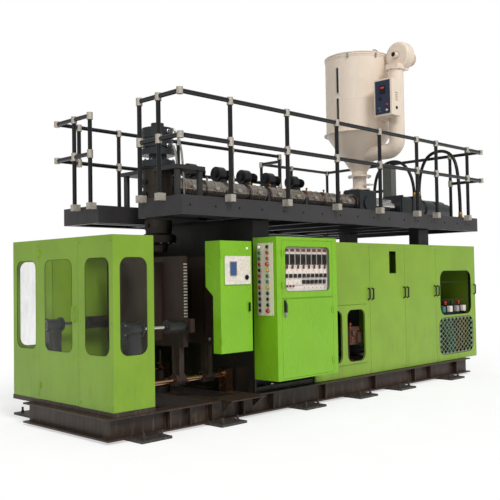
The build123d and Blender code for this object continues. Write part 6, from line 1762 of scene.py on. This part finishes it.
@dataclass
class OilUnit:
    """Valves, rigid pipes and bars behind the last panel's windows, and the valve behind the hatch."""

    layout: Layout
    face: float = 160.0
    gap: float = 114.0
    top: float = 880.0
    foot: float = 335.0
    valve_start: float = 5902.0
    valve_pitch: float = 192.0
    coil_level: float = 966.0
    coil_size: Pair = (80, 88)
    knob_level: float = 1021.0
    knob_inset: float = 60.0
    knob: Profile = ((20, 0), (20, 26), (28, 30), (28, 52), (20, 58))
    coils: tuple[Finish, ...] = (Finish.TEAL, Finish.OFF_WHITE, Finish.GREY, Finish.OFF_WHITE)
    knobs: tuple[Finish, ...] = (Finish.GREEN, Finish.RED, Finish.NAVY, Finish.RED)
    teal: tuple[Pair, ...] = ((5850, 6020), (5950, 6110), (6050, 6190))
    teal_radius: float = 15.0
    copper: tuple[Pair, ...] = ((6330, 6275), (6395, 6345), (6460, 6420))
    copper_radius: float = 9.0
    bar_ends: Pair = (5695, 6580)
    bar_station: float = 87.0
    bar_levels: Pair = (1366.0, 1107.0)
    bar_radius: float = 6.0
    slabs: tuple[Slab, ...] = (
        Slab((3790, 230, 723), (200, 222), depth=80, corner=6, soften=3),
        Slab((3840, 150, 700), (70, 120), depth=40, corner=4, soften=2),
        Slab((3745, 150, 760), (60, 60), depth=30, corner=4, soften=2),
    )
    stand_foot: Triple = (3790, 260, 231)
    stand_head: Triple = (3790, 260, 620)
    stand_radius: float = 16.0
    union_face: float = 150.0
    unions: tuple[Pair, ...] = ((3715.0, 660.0), (3715.0, 700.0), (3790.0, 790.0), (3850.0, 790.0))
    cap_foot: Triple = (3745, 190, 833)
    cap: Profile = ((14, 0), (14, 24), (22, 26), (22, 50), (12, 54))
    filter_foot: Triple = (3740, 190, 231)
    filter_bowl: Profile = ((40, 0), (40, 120), (34, 128), (34, 190), (12, 196))

    def _valves(self) -> None:
        """Adds a coil and a knob to each valve."""
        for index, (coil, knob) in enumerate(zip(self.coils, self.knobs)):
            station = self.valve_start + index * self.valve_pitch
            frame = self.layout.face(Way.OPERATOR, station, self.face, self.coil_level)
            case = Shape().plate(frame, self.coil_size, depth=48, corner=8, soften=4)
            case.done(f"valve_coil_{index + 1}", MACHINE, coil, "drive_slate")
            seat = self.layout.face(Way.UP, station, self.face + self.knob_inset, self.knob_level)
            head = Shape().lathe(seat, self.knob, steps=20)
            head.done(f"valve_knob_{index + 1}", MACHINE, knob, "stop_red")

    def _pipes(self, name: str, runs: tuple[Pair, ...], radius: float, finish: Finish) -> None:
        """Adds bent pipes from the manifold down to the tank.

        Args:
            name: the piece's name.
            runs: the station where each pipe starts and the one where it ends.
            radius: the pipes' radius.
            finish: their finish.
        """
        at = self.layout.at
        shape = Shape()
        for start, end in runs:
            shape.pipe([
                at(start, self.face, self.top),
                at(start, self.gap + 8, self.top - 10),
                at(start, self.gap, self.top - 90),
                at((start + end) / 2, self.gap, (self.top + self.foot) / 2),
                at(end, self.gap, self.foot + 80),
                at(end, self.gap + 8, self.foot + 10),
                at(end, self.face, self.foot),
            ], radius)
        shape.done(name, MACHINE, finish, "drive_slate")

    def _bars(self) -> None:
        """Adds the bars behind the end panel's upper window."""
        at = self.layout.at
        left, right = self.bar_ends
        bars = Shape()
        for level in self.bar_levels:
            bars.rod(at(left, self.bar_station, level), at(right, self.bar_station, level), self.bar_radius)
        bars.done("window_bars", MACHINE, Finish.DARK_STEEL, "dark_interior")

    def _hatch_valve(self) -> None:
        """Adds the valve behind the hatch, with its stand, unions, cap and filter."""
        at, face = self.layout.at, self.layout.face
        block = Shape()
        for slab in self.slabs:
            block.plate(face(Way.OPERATOR, *slab.back), slab.size, slab.depth, slab.corner, slab.soften)
        block.rod(at(*self.stand_foot), at(*self.stand_head), self.stand_radius)
        block.done("hatch_valve_block", MACHINE, Finish.VALVE_BROWN, "drive_slate")
        unions = Shape()
        for x, z in self.unions:
            unions.bolt(face(Way.OPERATOR, x, self.union_face, z), radius=12, height=18)
        unions.lathe(face(Way.UP, *self.cap_foot), self.cap, steps=16)
        unions.lathe(face(Way.UP, *self.filter_foot), self.filter_bowl, steps=20)
        unions.done("hatch_valve_unions", MACHINE, Finish.COPPER, "steel")

    def build(self) -> None:
        """Adds the fittings."""
        self._valves()
        self._pipes("tank_pipes_painted", self.teal, self.teal_radius, Finish.TEAL)
        self._pipes("tank_pipes_copper", self.copper, self.copper_radius, Finish.COPPER)
        self._bars()
        self._hatch_valve()


@dataclass
class DriveHoses:
    """The two hydraulic hoses of the screw drive, on the same routes as their solids."""

    layout: Layout
    radius: float = 25.0
    ferrule: float = 80.0
    port: float = 2720.3
    foot: float = 2340.3

    def routes(self) -> dict[str, list[Triple]]:
        """Returns the routes' points as stations in millimetres."""
        return {
            "drive_hose_front": [
                (6578, 925, self.port), (6578, 925, 3050), (6545, 730, 3400),
                (6500, 320, 3400), (6470, 140, 3050), (6470, 140, self.foot),
            ],
            "drive_hose_rear": [
                (6578, 1015, self.port), (6578, 1015, 3000), (6550, 1210, 3340),
                (6525, 1570, 3340), (6480, 1750, 2990), (6480, 1750, self.foot),
            ],
        }

    def _rubber(self, name: str, points: list[Vector]) -> bpy.types.Object:
        """Draws a hose as a smooth curve.

        Args:
            name: its name.
            points: the route's points.

        Returns:
            The hose.
        """
        curve = bpy.data.curves.new(name, "CURVE")
        curve.dimensions = "3D"
        curve.bevel_depth = self.radius * MILLIMETRE
        curve.bevel_resolution = 6
        curve.resolution_u = 16
        curve.use_fill_caps = True
        spline = curve.splines.new("NURBS")
        spline.points.add(len(points) - 1)
        for control, point in zip(spline.points, points):
            control.co = (*point, 1.0)
        spline.order_u = 3
        spline.use_endpoint_u = True
        curve.materials.append(Finish.HOSE.material())
        piece = bpy.data.objects.new(name, curve)
        bpy.context.scene.collection.objects.link(piece)
        LOG.info("%s: a hose through %d points on %s", name, len(points), MACHINE)
        return piece

    def _ferrules(self, name: str, places: Iterable[Vector]) -> None:
        """Adds a brass ferrule over each of a hose's ends."""
        neck, swell, cuff = (self.radius + out for out in (1, 9, 4))
        end = self.ferrule
        profile = ((neck, 2), (swell, 4), (swell, 22), (cuff, 26), (cuff, end - 4), (neck, end))
        shape = Shape()
        for place in places:
            shape.lathe(Way.UP.at(place), profile)
        shape.done(name, MACHINE, Finish.BRASS, "steel")

    def build(self) -> None:
        """Adds each hose and the ferrules at its ends."""
        for node, stations in self.routes().items():
            points = [self.layout.at(*station) for station in stations]
            piece = self._rubber(f"{node}_rubber", points)
            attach(piece, MACHINE)
            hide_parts(node)
            runs = sum((after - before).length for before, after in zip(points, points[1:]))
            tuple(points[0])
            2 * self.radius * MILLIMETRE
            self._ferrules(f"{node}_ferrules", (points[0], points[-1]))


@dataclass
class Platform:
    """Brass fittings where the hoses pass the deck."""

    layout: Layout
    places: tuple[Pair, ...] = ((6470, 140), (6480, 1750))
    level: float = 2190.0
    inner: float = 32.4
    nut_radius: float = 50.0
    nut_levels: Pair = (30, 60)
    neck_radius: float = 44.0
    neck_levels: Pair = (112, 148)

    def build(self) -> None:
        """Adds them."""
        collars = Shape()
        for x, y in self.places:
            frame = self.layout.face(Way.UP, x, y, self.level)
            for outer, (foot, head) in (
                (self.nut_radius, self.nut_levels), (self.neck_radius, self.neck_levels),
            ):
                collars.band(frame, self.inner, outer, head - foot, steps=6, foot=foot)
        collars.done("deck_fittings", MACHINE, Finish.BRASS, "steel")


@dataclass
class Studio:
    """Floor, backdrop, light and camera."""

    layout: Layout
    eye: Triple = (-4104.0, -5842.0, 1502.0)
    forward: Triple = (0.70903, 0.70438, 0.03341)
    up: Triple = (-0.01249, -0.03483, 0.99932)
    lens: float = 55.57
    sensor: float = 36.0
    reach: float = 200.0
    floor: float = 60.0
    floor_tones: Pair = (0.83, 0.87)
    floor_glow: float = 1.24
    glow_share: float = 0.45
    sky: float = 0.52

    def _white_for_eye(self, graph: Graph, lit: Signal, white: Signal) -> None:
        """Shows white to the eye and in gloss, and the lit shader to everything else."""
        rays = graph.tree.nodes.new("ShaderNodeLightPath")
        seen = Signal(graph, rays.outputs["Is Camera Ray"]) + Signal(graph, rays.outputs["Is Glossy Ray"])
        seen = seen + Signal(graph, rays.outputs["Is Transmission Ray"])
        graph.add_output(graph.add("ShaderNodeMixShader", None, {0: seen.ramp(0.0, 1.0), 1: lit, 2: white}))

    def _floor(self) -> None:
        """Adds the pale floor."""
        graph = Graph("studio_floor")
        speckle = graph.noise(3, 2)
        dark, pale = ((level, level, level, 1) for level in self.floor_tones)
        tone = graph.mix(speckle.ramp(0.2, 0.8), dark, pale)
        lit = graph.add("ShaderNodeBsdfDiffuse", None, {"Color": tone})
        glow = graph.add("ShaderNodeEmission", None, {"Color": (1, 1, 1, 1), "Strength": self.floor_glow})
        half = graph.add("ShaderNodeMixShader", None, {0: self.glow_share, 1: lit, 2: glow})
        self._white_for_eye(graph, lit, half)
        corners = [(x * self.floor, y * self.floor, 0.0) for x, y in ((-1, -1), (1, -1), (1, 1), (-1, 1))]
        data = bpy.data.meshes.new("floor")
        data.from_pydata(corners, [], [(0, 1, 2, 3)])
        data.materials.append(graph.material)
        floor = bpy.data.objects.new("floor", data)
        bpy.context.scene.collection.objects.link(floor)

    def _world(self) -> None:
        """Adds an even sky that the eye sees as white."""
        world = bpy.data.worlds.new("studio")
        bpy.context.scene.world = world
        world.use_nodes = True
        tree = world.node_tree
        tree.nodes.clear()
        rays = tree.nodes.new("ShaderNodeLightPath")
        total = tree.nodes.new("ShaderNodeMath")
        total.operation = "MAXIMUM"
        tree.links.new(rays.outputs["Is Camera Ray"], total.inputs[0])
        tree.links.new(rays.outputs["Is Transmission Ray"], total.inputs[1])
        dim, white = tree.nodes.new("ShaderNodeBackground"), tree.nodes.new("ShaderNodeBackground")
        dim.inputs["Strength"].default_value = self.sky
        white.inputs["Strength"].default_value = 1.0
        for node in (dim, white):
            node.inputs["Color"].default_value = (1, 1, 1, 1)
        choice, output = tree.nodes.new("ShaderNodeMixShader"), tree.nodes.new("ShaderNodeOutputWorld")
        tree.links.new(total.outputs[0], choice.inputs[0])
        tree.links.new(dim.outputs[0], choice.inputs[1])
        tree.links.new(white.outputs[0], choice.inputs[2])
        tree.links.new(choice.outputs[0], output.inputs["Surface"])

    @staticmethod
    def _sun(name: str, toward: Triple, strength: float, angle: float) -> None:
        """Adds one broad light.

        Args:
            name: its name.
            toward: the way to the light from the machine.
            strength: its strength.
            angle: how broad it is, in degrees.
        """
        lamp = bpy.data.lights.new(name, "SUN")
        lamp.energy = strength
        lamp.angle = math.radians(angle)
        light = bpy.data.objects.new(name, lamp)
        light.rotation_euler = Vector(toward).to_track_quat("Z", "Y").to_euler()
        bpy.context.scene.collection.objects.link(light)

    def _camera(self) -> None:
        """Adds the camera at the photograph's angle."""
        data = bpy.data.cameras.new("camera")
        data.sensor_width = self.sensor
        data.sensor_fit = "HORIZONTAL"
        data.lens = self.lens
        data.clip_end = self.reach
        camera = bpy.data.objects.new("camera", data)
        back = -Vector(self.forward).normalized()
        up = Vector(self.up)
        right = up.cross(back).normalized()
        turn = Matrix((right, back.cross(right), back)).transposed().to_4x4()
        camera.matrix_world = Matrix.Translation(self.layout.at(*self.eye)) @ turn
        bpy.context.scene.collection.objects.link(camera)
        bpy.context.scene.camera = camera

    def build(self) -> None:
        """Sets the stage."""
        bpy.context.scene.view_settings.view_transform = "Standard"
        self._floor()
        self._world()
        self._sun("key", toward=(-0.25, -1.0, 0.95), strength=1.9, angle=20.0)
        self._sun("side", toward=(-1.0, -0.35, 0.6), strength=0.35, angle=30.0)
        self._camera()


def main() -> None:
    """Loads the frame, dresses it and sets the stage."""
    logging.basicConfig(level=logging.INFO, format="%(name)s: %(message)s")
    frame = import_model()
    layout = Layout.read()
    Studio(layout).build()
    DriveHoses(layout).build()
    dress_nodes(frame["nodes"])
    Windows(layout).build()
    ControlPlate(layout).build()
    Instruments().build()
    OperatorStation(layout).build()
    Fasteners(layout).build()
    Head(layout).build()
    Extruder(layout).build()
    HopperDryer(layout).build()
    ClampArea(layout).build()
    OilUnit(layout).build()
    Platform(layout).build()


if __name__ == "__main__":
    main()
